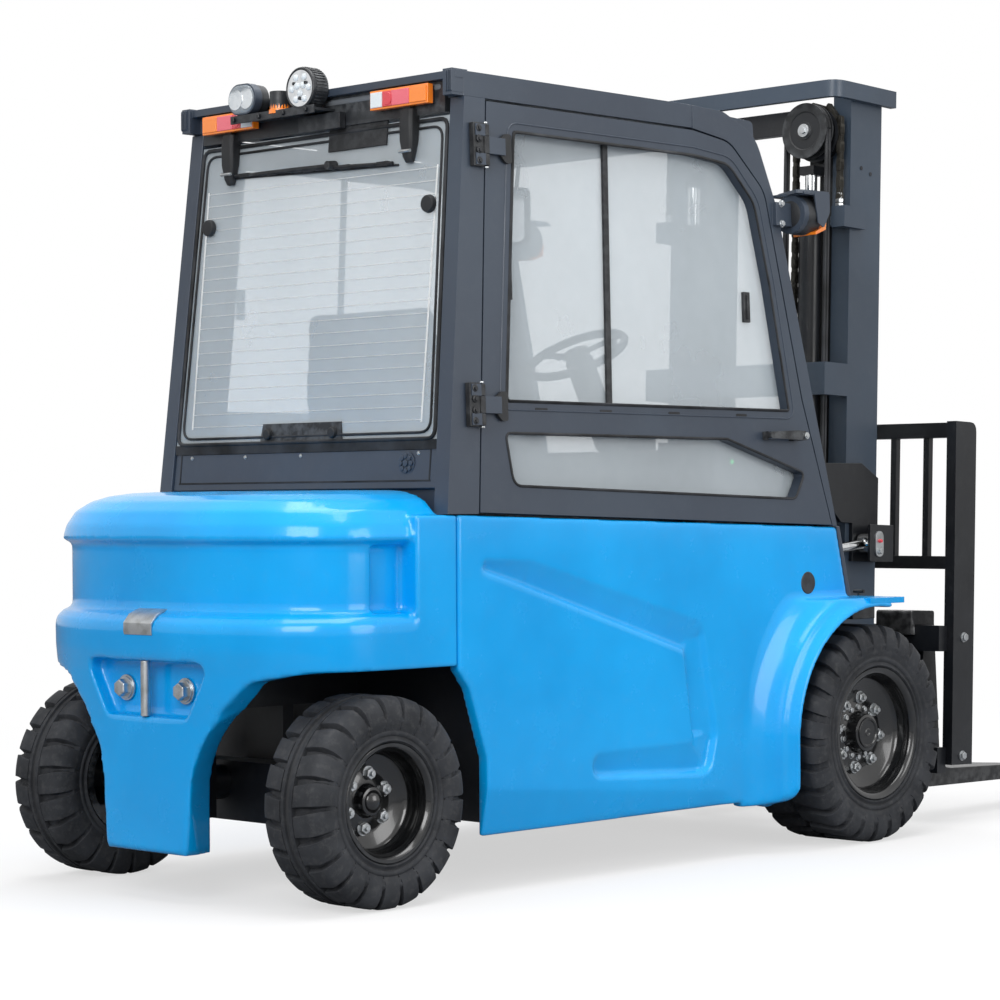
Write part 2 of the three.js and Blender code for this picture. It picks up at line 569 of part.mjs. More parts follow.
/** The door's outline, made larger by a margin on every edge. */
const doorOutline = (grow = 0) => local([
  [doorRearX(1080) - grow, 1081 - grow], [-125 + grow, 1031 - grow], [-262 + grow, 1433], [-345 + grow, 1760, 200],
  [behindCowl(243, 52.5) + grow, CAB_TOP_Z - 243, 120], [behindCowl(101, 181.4) + grow * 0.7,
    CAB_TOP_Z - 101 + grow * 0.7, 120], [KNEE_X, DOOR_TOP_Z + grow, 60],
  [doorRearX(DOOR_TOP_Z) - grow, DOOR_TOP_Z + grow],
]);

const windowOutline = (grow = 0) => local([
  [DOOR_REAR_X + 115 - grow, 1396 - grow, 10], [-326 + grow * 1.2, 1393 - grow, 10], [-404 + grow, 1790, 160],
  [behindCowl(283, 112.6) + grow, CAB_TOP_Z - 283, 110], [behindCowl(168, 203.4) + grow * 0.7,
    CAB_TOP_Z - 168 + grow * 0.7, 90],
  [-760, CAB_TOP_Z - 153 + grow, 60], [DOOR_REAR_X + 177 - grow, CAB_TOP_Z - 153 + grow, 10],
]);
const lowWindowOutline = (grow = 0) => local([
  [DOOR_REAR_X + 114 - grow, 1305 + grow, 14], [DOOR_REAR_X + 142 - grow, 1159 - grow, 40], [-310, 1118 - grow, 30],
  [-262 + grow, 1196, 16], [-640 + grow * 0.3, 1300 + grow, 30],
]);

function door() {
  const slab = prism("y", doorOutline(), 0, DOOR_WALL);
  const window = prism("y", windowOutline(), -10, DOOR_WALL + 10);
  const lowWindow = prism("y", lowWindowOutline(), -10, DOOR_WALL + 10);
  const handleZ = 1315 - CAB_BASE_Z;
  const handle = join(
    block([-464, -234 - 60], [-34, -22], [handleZ - 12, handleZ + 12]),
    block([-460, -440], [-24, 5], [handleZ - 10, handleZ + 10]),
    block([-330, -310], [-24, 5], [handleZ - 10, handleZ + 10]),
  );
  const hinges = HINGE_ZS.map((z) => {
    const x = doorRearX(z);
    const low = z - CAB_BASE_Z - 24;
    return join(
      block([x + 8, x + 60], [-HINGE_OUT - 7, 4], [low, low + 48]),
      block([x - HINGE_BACK, x + 12], [-HINGE_OUT - 7, 7 - HINGE_OUT], [low, low + 48]),
      rod([x - HINGE_BACK, -HINGE_OUT, low], [x - HINGE_BACK, -HINGE_OUT, low + 48], 7, 12),
    );
  });
  return join(cut(slab, window, lowWindow), handle, ...hinges);
}

/** One sheet of glass behind both door windows. */
function doorGlass() {
  const inner = DOOR_WALL + SEAT_GAP;
  const sheet = prism("y", local([
    [DOOR_REAR_X + 102, 1120, 10], [-250, 1090, 10], [-262, 1230], [-316, 1393], [-394, 1790, 160],
      [behindCowl(273, 100.1), BEND_Z, 110],
    [behindCowl(158, 195.9), CAB_TOP_Z - 158, 90], [-760, CAB_TOP_Z - 138, 60], [DOOR_REAR_X + 162,
      CAB_TOP_Z - 138, 10],
  ]), inner, inner + GLASS);
  return sheet;
}

/** Rear pillar with the fixed halves of the door hinges. */
function rearPillar() {
  const foot = 2.3;
  const body = prism("y", local([
    [rearPillarX(CAB_BASE_Z + foot), CAB_BASE_Z + foot], [doorRearX(CAB_BASE_Z) - DOOR_GAP, CAB_BASE_Z + foot],
    [doorRearX(RAIL_LOW_Z) - DOOR_GAP, RAIL_LOW_Z], [rearPillarX(RAIL_LOW_Z), RAIL_LOW_Z],
  ]), 0, PILLAR_WALL);
  const hinges = HINGE_ZS.map((z) => {
    const pinX = doorRearX(z) - HINGE_BACK;
    const low = z - CAB_BASE_Z - 58;
    const ear = 34 - BEARING_GAP;
    const ears = [low, low + 116 - ear].map((from) => join(
      block([pinX - 46, pinX], [-HINGE_OUT - 7, 4], [from, from + ear]),
      rod([pinX, -HINGE_OUT, from], [pinX, -HINGE_OUT, from + ear], 7, 12),
    ));
    return join(block([pinX - 46, pinX - 14], [-HINGE_OUT, 4], [low, low + 116]), ...ears);
  });
  return join(body, ...hinges);
}

const HEADLAMP = { x: behindCowl(308, -79.1), z: CAB_TOP_Z - 308, radius: 62 };

/** Front pillar: a strip that follows the door's front edge up to the roof, with its corner plate and headlamp. */
function frontPillar() {
  const foot = 3;
  const outer = prism("y", local([
    [KNEE_X + SEAT_GAP, RAIL_LOW_Z - 40], [-500, 1700], [-160, BELT_FRONT_Z + foot + 3], [cowlX(BELT_FRONT_Z),
      BELT_FRONT_Z + foot],
    [cowlX(1700), 1700], [cowlX(BROW_Z), BROW_Z, 160], [behindCowl(68, 43.1), CAB_TOP_Z - 68, 130],
      [behindCowl(6, 182.3), CAB_TOP_Z - 6, 80], [KNEE_X + SEAT_GAP, CAB_TOP_Z],
  ]), 0, PILLAR_WALL);
  const opening = prism("y", doorOutline(DOOR_GAP), -20, PILLAR_WALL + 20);
  const rearCut = prism("y", local([[-2000, 900], [-1000, 900], [-1000, 2600], [-2000, 2600]]), -40,
    PILLAR_WALL + 40);
  const plate = prism("y", local([
    [behindCowl(108, 158.2), CAB_TOP_Z - 108], [behindCowl(183, 38.2), CAB_TOP_Z - 183], [behindCowl(16, -1.1),
      CAB_TOP_Z - 16, 20], [behindCowl(8, 172.8), CAB_TOP_Z - 8], [behindCowl(43, 221.7), CAB_TOP_Z - 43],
  ]), PILLAR_WALL - 22, PILLAR_WALL - 2);
  const { x, z, radius } = HEADLAMP;
  const lampZ = z - CAB_BASE_Z;
  const lamp = join(
    block([cowlX(z) - 30, x - 10], [-16, 10], [lampZ - 40, lampZ + 34]),
    rod([x - 30, -8, lampZ], [x + 62, -8, lampZ], radius, 20),
    block([x - 34, x + 96], [-74, 56], [lampZ + radius - 4, lampZ + radius + 6]),
  );
  return join(cut(outer, opening, rearCut), plate, lamp);
}

for (const side of SIDES) {
  const group = cabGroups.get(side);
  place(`rear_pillar_${side.tag}`, sided(rearPillar(), side), CAB_GREY, group);
  place(`front_pillar_${side.tag}`, sided(frontPillar(), side), CAB_GREY, group);
  place(`door_${side.tag}`, sided(door(), side), CAB_GREY, group);
  place(`door_glass_${side.tag}`, sided(doorGlass(), side), WINDOW, group);
}

/** Half width of the cab's outer faces at a height. */
const cabHalf = (z) => BODY_HALF - (z - CAB_BASE_Z) * Math.tan(CAB_LEAN * DEG);

/** Trims a solid to the space between the inner faces of the two leaning sides, with a gap left each side. */
function betweenSides(solid, gap) {
  const side = block([-3000, 1000], [-2000, PILLAR_WALL + gap], [-600, CAB_TOP_Z - CAB_BASE_Z + 342])
    .rotate([-CAB_LEAN, 0, 0]).translate([0, -BODY_HALF, CAB_BASE_Z]);
  return cut(solid, side, side.mirror([0, 1, 0]));
}

function roof() {
  const railTop = CAB_TOP_Z - ROOF_WALL;
  const half = cabHalf(CAB_TOP_Z);
  const low = RAIL_LOW_Z - 0.2;
  const plate = block([REAR_PILLAR_X + 81, KNEE_X], [-half, half], [railTop, CAB_TOP_Z]);
  const rails = SIDES.map(({ sign }) => block(
    [rearPillarX(RAIL_LOW_Z), KNEE_X], [sign * half, sign * (half - ROOF_RAIL)].sort((p, q) => p - q), [low,
      railTop + 4]));
  const caps = SIDES.map(({ sign }) => block(
    [REAR_PILLAR_X + 71, REAR_PILLAR_X + 133], [sign * (half - 2), sign * (half - 40)].sort((p, q) => p - q),
      [low, CAB_TOP_Z + 4]));
  const nose = betweenSides(join(
    block([KNEE_X - 5, behindCowl(0, 90.8)], [-half, half], [railTop - 4, CAB_TOP_Z - 8]),
    block([behindCowl(0, 130.8), behindCowl(0, 40.8)], [-half, half], [WINDSCREEN_TOP_Z, CAB_TOP_Z - 10]),
  ), 1);
  return join(plate, ...rails, ...caps, nose);
}
place("roof", roof(), CAB_GREY);

const REAR_WINDOW = { low: 1283, high: CAB_TOP_Z - 119 };
const rearFaceX = (z) => rearPillarX(z) + 8;

function rearWall() {
  const thick = 34;
  const half = BODY_HALF;
  const low = CASTING.top + 3;
  const panel = prism("y", [
    [rearFaceX(low), low], [rearFaceX(REAR_WINDOW.low - 4), REAR_WINDOW.low - 4],
    [rearFaceX(REAR_WINDOW.low - 4) + thick, REAR_WINDOW.low - 4], [rearFaceX(low) + thick, low],
  ], -half, half);
  const foot = block([SEAM_X + 2, SEAM_X + 30], [-INSIDE + 2, INSIDE - 2], [DECK_Z - 24, low + 40]);
  const shelf = block([SEAM_X + 2, PAN_REAR_X + 5], [-INSIDE + 2, INSIDE - 2], [DECK_Z - 24, DECK_Z - 10]);
  return join(betweenSides(join(panel, foot), 1), shelf);
}
place("rear_wall", rearWall(), CAB_GREY);

function rearWindow() {
  const { low, high } = REAR_WINDOW;
  const half = BODY_HALF;
  return betweenSides(prism("y", [
    [rearFaceX(low) - 2, low], [rearFaceX(high) - 2, high], [rearFaceX(high) + GLASS, high],
      [rearFaceX(low) + GLASS, low],
  ], -half, half), 1);
}
place("rear_window", rearWindow(), WINDOW);

function windscreen() {
  const low = SILL_Z + SEAT_GAP;
  const high = WINDSCREEN_TOP_Z - SEAT_GAP;
  const topX = behindCowl(83, 69.9);
  const lean = (z) => cowlX(z) - 23;
  return betweenSides(prism("y", [
    [lean(low), low], [lean(BEND_Z), BEND_Z], [topX, high], [topX - GLASS, high], [lean(BEND_Z) - GLASS,
      BEND_Z], [lean(low) - GLASS, low],
  ], -BODY_HALF, BODY_HALF), 1);
}
place("windscreen", windscreen(), WINDOW);

// ---------------------------------------------------------------- lamps on the rear of the roof

/** Cross bar over the rear window with the tail lamps, the two working lamps and the beacon. */
function rearLampBar() {
  const barLow = REAR_WINDOW.high + 8;
  const barHigh = CAB_TOP_Z - ROOF_WALL - SEAT_GAP;
  const half = cabHalf(CAB_TOP_Z) - ROOF_RAIL - 3;
  const bar = block([REAR_PILLAR_X + 105, REAR_PILLAR_X + 131], [-half, half], [barLow, barHigh]);
  const tails = SIDES.map(({ sign }) => block(
    [REAR_PILLAR_X + 73, REAR_PILLAR_X + 109], [sign * 262, sign * 492].sort((p, q) => p - q),
    [CAB_TOP_Z - 81, CAB_TOP_Z - 33]));
  const shelfLow = CAB_TOP_Z - 65;
  const shelf = block([REAR_PILLAR_X + 23, REAR_PILLAR_X + 109], [-70, 300], [shelfLow, shelfLow + 8]);
  const workLamp = (y, z, radius) => rod([LAMP_REAR_X, y, z], [LAMP_FRONT_X, y, z], radius, 28);
  const foot = (y) => block([REAR_PILLAR_X + 38, REAR_PILLAR_X + 62], [y - 12, y + 12], [shelfLow + 2,
    shelfLow + 32]);
  const round = join(workLamp(-13, CAB_TOP_Z + 2, 62), foot(-13));
  const oval = join(workLamp(236, CAB_TOP_Z - 3, 46), workLamp(268, CAB_TOP_Z - 3, 46), foot(252));
  const beacon = rod([REAR_PILLAR_X + 47, 110, shelfLow + 4], [REAR_PILLAR_X + 47, 110, CAB_TOP_Z + 7], 30, 20);
  return join(bar, ...tails, shelf, round, oval, beacon);
}
place("rear_lamp_bar", rearLampBar(), TRIM_BLACK);

// ---------------------------------------------------------------- inside the cab

const SEAT = { x: -1290, width: 480, cushionTop: 1290, backTop: 1700 };

function seatBase() {
  const { x } = SEAT;
  return join(
    block([x - 210, x + 200], [-215, 215], [DECK_Z + SEAT_GAP, DECK_Z + 30]),
    block([x - 170, x + 160], [-170, 170], [DECK_Z + 25, 1150]),
  );
}
place("seat_base", seatBase(), TRIM_BLACK);

function seatCushion() {
  const { x, width, cushionTop } = SEAT;
  return prism("y", [
    [x - 235.6, 1150 + SEAT_GAP, 20], [x + 260, 1150 + SEAT_GAP, 30], [x + 270, cushionTop - 20, 45], [x + 150,
      cushionTop, 60],
    [x - 140, cushionTop - 25, 60], [x - 235.6, cushionTop - 10, 20],
  ], -width / 2, width / 2);
}
place("seat_cushion", seatCushion(), SEAT_GREY);

function seatBack() {
  const { x, width, backTop, cushionTop } = SEAT;
  return prism("y", [
    [x - 236, cushionTop - 100], [x - 236, cushionTop - 7], [x - 160, cushionTop + 2, 20], [x - 185,
      cushionTop + 200, 200],
    [x - 240, backTop, 40], [x - 310, backTop - 10, 30], [x - 330, cushionTop + 150, 200], [x - 290,
      cushionTop - 100],
  ], -width / 2, width / 2);
}
place("seat_back", seatBack(), SEAT_GREY);

function dashboard() {
  const back = (z) => cowlX(z) - 48;
  const half = INSIDE - 30;
  const top = 1270;
  const desk = prism("y", [
    [back(1022), 1022], [back(top), top], [back(top) - 90, top + 12, 20], [-400, 1190, 20], [-400, 1022],
  ], -half, half);
  const leftLegRoom = block([-500, -250], [-300, -120], [900, 1120]);
  const pod = block([-470, -330], [-330, -200], [1150, 1300]);
  return join(cut(desk, leftLegRoom), pod, block([-395, back(1022) - 2], [-half, -FOOTWELL.half + 10],
    [FOOTWELL.ledge + SEAT_GAP, 1030]),
    block([-395, back(1022) - 2], [FOOTWELL.half - 10, half], [FOOTWELL.ledge + SEAT_GAP, 1030]));
}
place("dashboard", dashboard(), TRIM_BLACK);

const STEERING = { x: -640, z: 1590, radius: 178, rake: 28 };
const steeringAxis = new THREE.Vector3(-Math.sin(STEERING.rake * DEG), 0, Math.cos(STEERING.rake * DEG));

function steeringColumn() {
  const { x, z } = STEERING;
  const top = new THREE.Vector3(x, 0, z).addScaledVector(steeringAxis, -22.5);
  const foot = new THREE.Vector3(x, 0, z).addScaledVector(steeringAxis, -330);
  const shroud = rod(foot.toArray(), top.toArray(), 46, 20);
  const leg = rod([foot.x, 0, foot.z], [-398, 0, 1130], 40, 16);
  const dashSide = block([-400 - SEAT_GAP, 0], [-400, 400], [900, 1240]);
  return cut(join(shroud, leg, block([-440, -380], [-50, 50], [1090, 1170])), dashSide);
}
place("steering_column", steeringColumn(), TRIM_BLACK);

function steeringWheel() {
  const { radius } = STEERING;
  const rimRing = solidOf(new THREE.TorusGeometry(radius - 14, 14, 6, 24));
  const hub = rod([0, 0, -22], [0, 0, 14], 42, 20);
  const spokes = [90, 210, 330].map((angle) => {
    const [c, s] = [Math.cos(angle * DEG), Math.sin(angle * DEG)];
    return rod([c * 30, s * 30, -2], [c * (radius - 16), s * (radius - 16), 0], 9, 8);
  });
  const knob = rod([0, -radius + 14, 8], [0, -radius + 14, 52], 20, 14);
  return join(rimRing, hub, ...spokes, knob);
}
const wheelMesh = place("steering_wheel", steeringWheel(), TRIM_BLACK);
wheelMesh.position.set(STEERING.x, 0, STEERING.z);
wheelMesh.quaternion.setFromUnitVectors(new THREE.Vector3(0, 0, 1), steeringAxis);

// ---------------------------------------------------------------- mast
// The mast leans forward about the drive axle: its own u runs forward and w runs up its rails.

const mast = new THREE.Group();
mast.position.set(0, 0, FRONT_WHEEL.radius);
mast.rotation.y = MAST_LEAN * DEG;
truck.add(mast);

/** Both sides of a right-hand solid. */
const pair = (solid) => [solid, solid.mirror([0, 1, 0])];

function outerMast() {
  const { rear, front, outer, web, flange, reach, low, high } = RAIL;
  const rail = prism("z", [
    [rear, -outer], [front, -outer], [front, -outer + reach], [front - flange, -outer + reach],
    [front - flange, -outer + web], [rear + flange, -outer + web], [rear + flange, -outer + reach], [rear,
      -outer + reach],
  ], low, high + 30);
  const bar = CROSSBAR;
  const inset = bar.half - bar.wall;
  const crossbar = (low, high) => prism("z", [
    [bar.front, -bar.half], [bar.rear, -bar.half, bar.corner], [bar.rear, bar.half, bar.corner], [bar.front,
      bar.half],
    [bar.front, inset], [bar.rear + bar.wall, inset, bar.corner - bar.wall],
    [bar.rear + bar.wall, -inset, bar.corner - bar.wall], [bar.front, -inset],
  ], low, high);
  const barFeet = block([rear + 10, front - 10], [-inset - 3, -outer + 2], [bar.low, bar.high - 8]);
  const lowTie = block([rear - 45, rear + 6], [-outer + 1, outer - 1], [low, LIFT.low - SEAT_GAP]);
  const midTie = join(
    block([CROSSBAR.rear, CROSSBAR.rear + 22], [-outer, outer], [1120, 1230]),
    ...pair(block([CROSSBAR.rear, rear + 6], [-outer, -outer + 22], [1120, 1230])),
  );
  const trunnion = cut(
    join(
      rod([0, -outer + 6, 0], [0, -outer + 54, 0], 138, 28),
      block([0, rear + 8], [-outer + 6, -outer + 54], [-134, 96]),
    ),
    rod([0, -outer, 0], [0, -outer + 60, 0], DRIVE_AXLE.housing + BEARING_GAP, 28),
  );
  const anchor = join(
    block([rear - 58, rear + 4], [-outer - 22, -outer + 34], [LIFT.high - 52, LIFT.high + 20]),
    block([rear - 58, rear + 62], [-outer - 22, -outer + 2], [LIFT.high - 52, LIFT.high + 20]),
    block([LIFT.u + 14, rear + 4], [-outer + 30, -LIFT.y - LIFT.barrel - SEAT_GAP], [LIFT.high - 40,
      LIFT.high - 10]),
  );
  return join(
    ...pair(rail), crossbar(bar.low, bar.high), ...pair(barFeet), lowTie, midTie, ...pair(trunnion),
      ...pair(anchor),
  );
}

/** The right-hand plate on the mast's side with the clevis that holds the tilt cylinder's pin. */
function tiltBracket() {
  const { outer } = RAIL;
  const gusset = prism("y", [
    [67, 886], [113, 763], [200, 690], [262, 690], [262, 560], [404, 560], [404, 848], [310, 895],
  ], -outer - 15, -outer - SEAT_GAP);
  const pin = tiltPin();
  const clevis = join(
    block([pin.u + 56, pin.u + 84], [-TILT.y - 46, -outer - 8], [pin.w - 62, pin.w + 62]),
    block([pin.u - 46, pin.u + 84], [-TILT.y - 46, -TILT.y - 34], [pin.w - 62, pin.w + 62]),
    rod([pin.u, -TILT.y - 44, pin.w], [pin.u, -outer - 8, pin.w], TILT.pinRadius, 16),
  );
  return join(gusset, clevis);
}

/** The tilt pin in the mast's own frame. */
function tiltPin() {
  const dz = TILT.pinZ - FRONT_WHEEL.radius;
  const [c, s] = [Math.cos(MAST_LEAN * DEG), Math.sin(MAST_LEAN * DEG)];
  return { u: TILT.pinX * c - dz * s, w: TILT.pinX * s + dz * c };
}

function innerMast() {
  const { rear, front, webOuter, webInner, wing, lip, flange, low, high } = INNER;
  const rail = prism("z", [
    [rear, -wing], [rear + flange, -wing], [rear + flange, -webOuter], [front - flange, -webOuter],
      [front - flange, -wing],
    [front, -wing], [front, -lip], [front - flange, -lip], [front - flange, -webInner], [rear + flange, -webInner],
    [rear + flange, -lip], [rear, -lip],
  ], low, high);
  const topTie = block([rear - 30, rear + 2], [-317, 317], [high - 62, high + 18]);
  const lowTie = block([rear - 18, rear + 2], [-lip - 10, lip + 10], [0, 80]);
  const head = block([rear - 92, rear - 26], [-LIFT.y - 30, -LIFT.y + 30], [SHEAVE.w - SHEAVE.radius - 44,
    SHEAVE.w - SHEAVE.radius - 14]);
  const headPost = block([rear - 34, rear - 26], [-LIFT.y - 30, -LIFT.y + 30], [SHEAVE.w - SHEAVE.radius - 44,
    high - 50]);
  const sheave = join(
    rod([SHEAVE.u - SHEAVE.half - 2, -SHEAVE.y, SHEAVE.w], [SHEAVE.u + SHEAVE.half + 2, -SHEAVE.y, SHEAVE.w],
      SHEAVE.radius - 8, 24),
    rod([SHEAVE.u - 40, -SHEAVE.y, SHEAVE.w], [rear - 28, -SHEAVE.y, SHEAVE.w], 22, 16),
  );
  const hoseWheel = rod([HOSE_WHEEL.u - HOSE_WHEEL.half, -HOSE_WHEEL.y, HOSE_WHEEL.w],
    [HOSE_WHEEL.u + HOSE_WHEEL.half, -HOSE_WHEEL.y, HOSE_WHEEL.w], HOSE_WHEEL.radius - 2, 24);
  const body = join(...pair(rail), topTie, lowTie, ...pair(head), ...pair(headPost), ...pair(sheave), hoseWheel);
  return body;
}

const rodTop = SHEAVE.w - SHEAVE.radius - 44 - SEAT_GAP;

/** Height of the lift rod's foot above the barrel's, clear of its floor when fully lowered. */
const ROD_FOOT = 90;

/** A lift barrel, open at the top, standing on the lower tie. */
const liftBarrel = () => {
  const { barrel, bore, low, high } = LIFT;
  const profile = [[0, low], [barrel, low], [barrel, high], [bore, high], [bore, low + 40], [0, low + 40]];
  return turned(profile, 20).rotate([90, 0, 0]).translate([LIFT.u, -LIFT.y, 0]);
};

/** A leaf chain over its sheave, as one closed run from the outer mast's anchor to the carriage. */
function chain() {
  const { y, radius, u, w } = SHEAVE;
  const { depth, half } = CHAIN;
  const outer = radius - 6 + depth;
  const inner = radius - 6;
  const anchorW = LIFT.high + 20 + SEAT_GAP;
  const lugW = CARRIAGE.high + SEAT_GAP;
  const steps = 10;
  const points = [[-y - outer, anchorW]];
  for (let i = 0; i <= steps; i++) {
    const t = Math.PI - (Math.PI * i) / steps;
    points.push([-y + outer * Math.cos(t), w + outer * Math.sin(t)]);
  }
  points.push([-y + outer, lugW], [-y + inner, lugW]);
  for (let i = 0; i <= steps; i++) {
    const t = (Math.PI * i) / steps;
    points.push([-y + inner * Math.cos(t), w + inner * Math.sin(t)]);
  }
  points.push([-y - inner, anchorW]);
  return prism("x", points, u - half, u + half);
}

/** The pair of hoses over the hose wheel, down to the lower mast and to the carriage. */
function hoses() {
  const { y, radius, u, w } = HOSE_WHEEL;
  const inner = radius + SEAT_GAP;
  const outer = inner + HOSE.depth;
  const lowW = 300;
  const lugW = CARRIAGE.high + SEAT_GAP;
  const steps = 10;
  const points = [[-y - outer, lowW]];
  for (let i = 0; i <= steps; i++) {
    const t = Math.PI - (Math.PI * i) / steps;
    points.push([-y + outer * Math.cos(t), w + outer * Math.sin(t)]);
  }
  points.push([-y + outer, lugW], [-y + inner, lugW]);
  for (let i = 0; i <= steps; i++) {
    const t = (Math.PI * i) / steps;
    points.push([-y + inner * Math.cos(t), w + inner * Math.sin(t)]);
  }
  points.push([-y - inner, lowW]);
  return prism("x", points, u - HOSE.half, u + HOSE.half);
}

/** The mast's carriage: two fork bars, roller plates between the rails, and the chain lugs. */
function carriage() {
  const { barRear, barFront, low, high, barHigh, half, plateIn, plateOut } = CARRIAGE;
  const bars = [low, high - barHigh].map((w) => block([barRear, barFront], [-half, half], [w, w + barHigh]));
  const plates = pair(prism("y", [
    [INNER.rear + 24, low + 10, 20], [barRear + 5, low + 10], [barRear + 5, high], [INNER.rear + 24, high],
  ], -plateOut, -plateIn));
  const rollers = [low + 90, high - 90].flatMap((w) => pair(
    rod([(INNER.rear + INNER.front) / 2, -plateOut + 4, w], [(INNER.rear + INNER.front) / 2,
      -INNER.webInner + RUNNING_GAP, w], 61, 20)));
  const lugs = pair(join(
    block([SHEAVE.u - 26, INNER.rear + 40], [-plateIn - 12, -plateIn + 24], [high - 90, high]),
    block([HOSE_WHEEL.u - 20, INNER.rear], [-plateIn - 12, -plateIn + 24], [high - 60, high]),
  ));
  return join(...bars, ...plates, ...rollers, ...lugs);
}

function backrest() {
  const { half, post, depth, top, low, rail, bar, barGap, midLow, midHigh } = BACKREST;
  const rear = CARRIAGE.barFront + SEAT_GAP;
  const front = rear + depth;
  const posts = pair(prism("y", [
    [rear, low], [front, low], [front, top, 34], [rear, top],
  ], -half, -half + post));
  const rails = [[top - rail, top], [midLow, midHigh]].map(([a, b]) =>
    block([front - 52, front - 12], [-half + 10, half - 10], [a, b]));
  const bars = [-3, -2, -1, 0, 1, 2, 3].map((i) =>
    block([front - 44, front - 20], [i * barGap - bar / 2, i * barGap + bar / 2], [midHigh - 5, top - rail + 5]));
  return join(...posts, ...rails, ...bars);
}

/** The right fork: a shank hooked on both carriage bars and a tapering blade. */
function fork() {
  const { y, width, thick, length, low, tip, hookTop } = FORK;
  const rear = CARRIAGE.barFront + SEAT_GAP;
  const top = CARRIAGE.high;
  const profile = prism("y", [
    [rear, low, 50], [rear + length, low + 22], [rear + length, low + 22 + tip, 6], [rear + length * 0.45,
      low + thick],
    [rear + thick + 50, low + thick, 70], [rear + thick, top + 10], [rear + thick, hookTop, 10],
    [rear - 74, hookTop, 14], [rear - 74, top - 34, 8], [CARRIAGE.barRear - SEAT_GAP, top - 34, 3],
      [CARRIAGE.barRear - SEAT_GAP, top + SEAT_GAP],
    [rear, top + SEAT_GAP],
  ], -y - width / 2, -y + width / 2);
  return profile;
}

place("outer_mast", outerMast(), FRAME_BLACK, mast);
place("inner_mast", innerMast(), FRAME_BLACK, mast);
place("carriage", carriage(), FRAME_BLACK, mast);
place("backrest", backrest(), FRAME_BLACK, mast);
place("mast_hoses", hoses(), TRIM_BLACK, mast);
for (const side of SIDES) {
  place(`lift_barrel_${side.tag}`, sided(liftBarrel(), side), FRAME_BLACK, mast);
  place(`lift_rod_${side.tag}`, sided(rod([LIFT.u, -LIFT.y, LIFT.low + ROD_FOOT], [LIFT.u, -LIFT.y, rodTop],
    LIFT.rod, 20), side), CHROME, mast);
  place(`chain_${side.tag}`, sided(chain(), side), STEEL, mast);
  place(`fork_${side.tag}`, sided(fork(), side), FRAME_BLACK, mast);
  place(`tilt_bracket_${side.tag}`, sided(tiltBracket(), side), FRAME_BLACK, mast);
}

// ---------------------------------------------------------------- tilt cylinders

/** Barrel and rod along a local X axis that starts at the anchor pin on the side panel. */
const tiltSpan = Math.hypot(TILT.pinX - TILT.anchorX, TILT.pinZ - TILT.anchorZ);
const tiltRise = Math.atan2(TILT.pinZ - TILT.anchorZ, TILT.pinX - TILT.anchorX);
const BARREL_END = 740;

function tiltBarrel() {
  const bore = TILT.rod + 5;
  const gland = TILT.rod + BEARING_GAP;
  const tube = turned([
    [0, 90], [TILT.barrel, 90], [TILT.barrel, BARREL_END], [gland, BARREL_END], [gland, BARREL_END - 25],
    [bore, BARREL_END - 25], [bore, 130], [0, 130],
  ], 20).rotate([0, 0, -90]);
  const eye = rod([0, -27, 0], [0, 27, 0], 40, 24);
  const neck = block([20, 100], [-22, 22], [-26, 26]);
  return cut(join(tube, eye, neck), rod([0, -40, 0], [0, 40, 0], 18 + SEAT_GAP, 24));
}

function tiltRod() {
  const shaft = rod([280, 0, 0], [tiltSpan - 30, 0, 0], TILT.rod, 20);
  const eye = rod([tiltSpan, -24, 0], [tiltSpan, 24, 0], TILT.eyeRadius - 6, 24);
  return cut(join(shaft, eye), rod([tiltSpan, -40, 0], [tiltSpan, 40, 0], TILT.pinRadius + RUNNING_GAP, 24));
}

for (const side of SIDES) {
  const group = new THREE.Group();
  group.position.set(TILT.anchorX, side.sign * TILT.y, TILT.anchorZ);
  group.rotation.y = -tiltRise;
  truck.add(group);
  place(`tilt_barrel_${side.tag}`, tiltBarrel(), FRAME_BLACK, group);
  place(`tilt_rod_${side.tag}`, tiltRod(), CHROME, group);
}

// ---------------------------------------------------------------- origin
const extent = new THREE.Box3().setFromObject(truck, true);
truck.position.x = -(extent.min.x + extent.max.x) / 2;

export default truck;
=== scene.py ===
"""Looks of an electric counterbalance forklift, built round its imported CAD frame.

Sizes are millimetres from the middle of the drive axle on the ground (+X forward, +Y left, +Z up)
until a piece is published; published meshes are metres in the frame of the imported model.
Each sub-assembly is a class that holds its sizes and builds and dresses its own pieces.
"""

from __future__ import annotations

import json
import logging
import math
from dataclasses import dataclass, field
from enum import Enum
from typing import Callable, Sequence

import bmesh
import bpy
import numpy as np
from mathutils import Matrix, Vector
from mathutils.geometry import tessellate_polygon

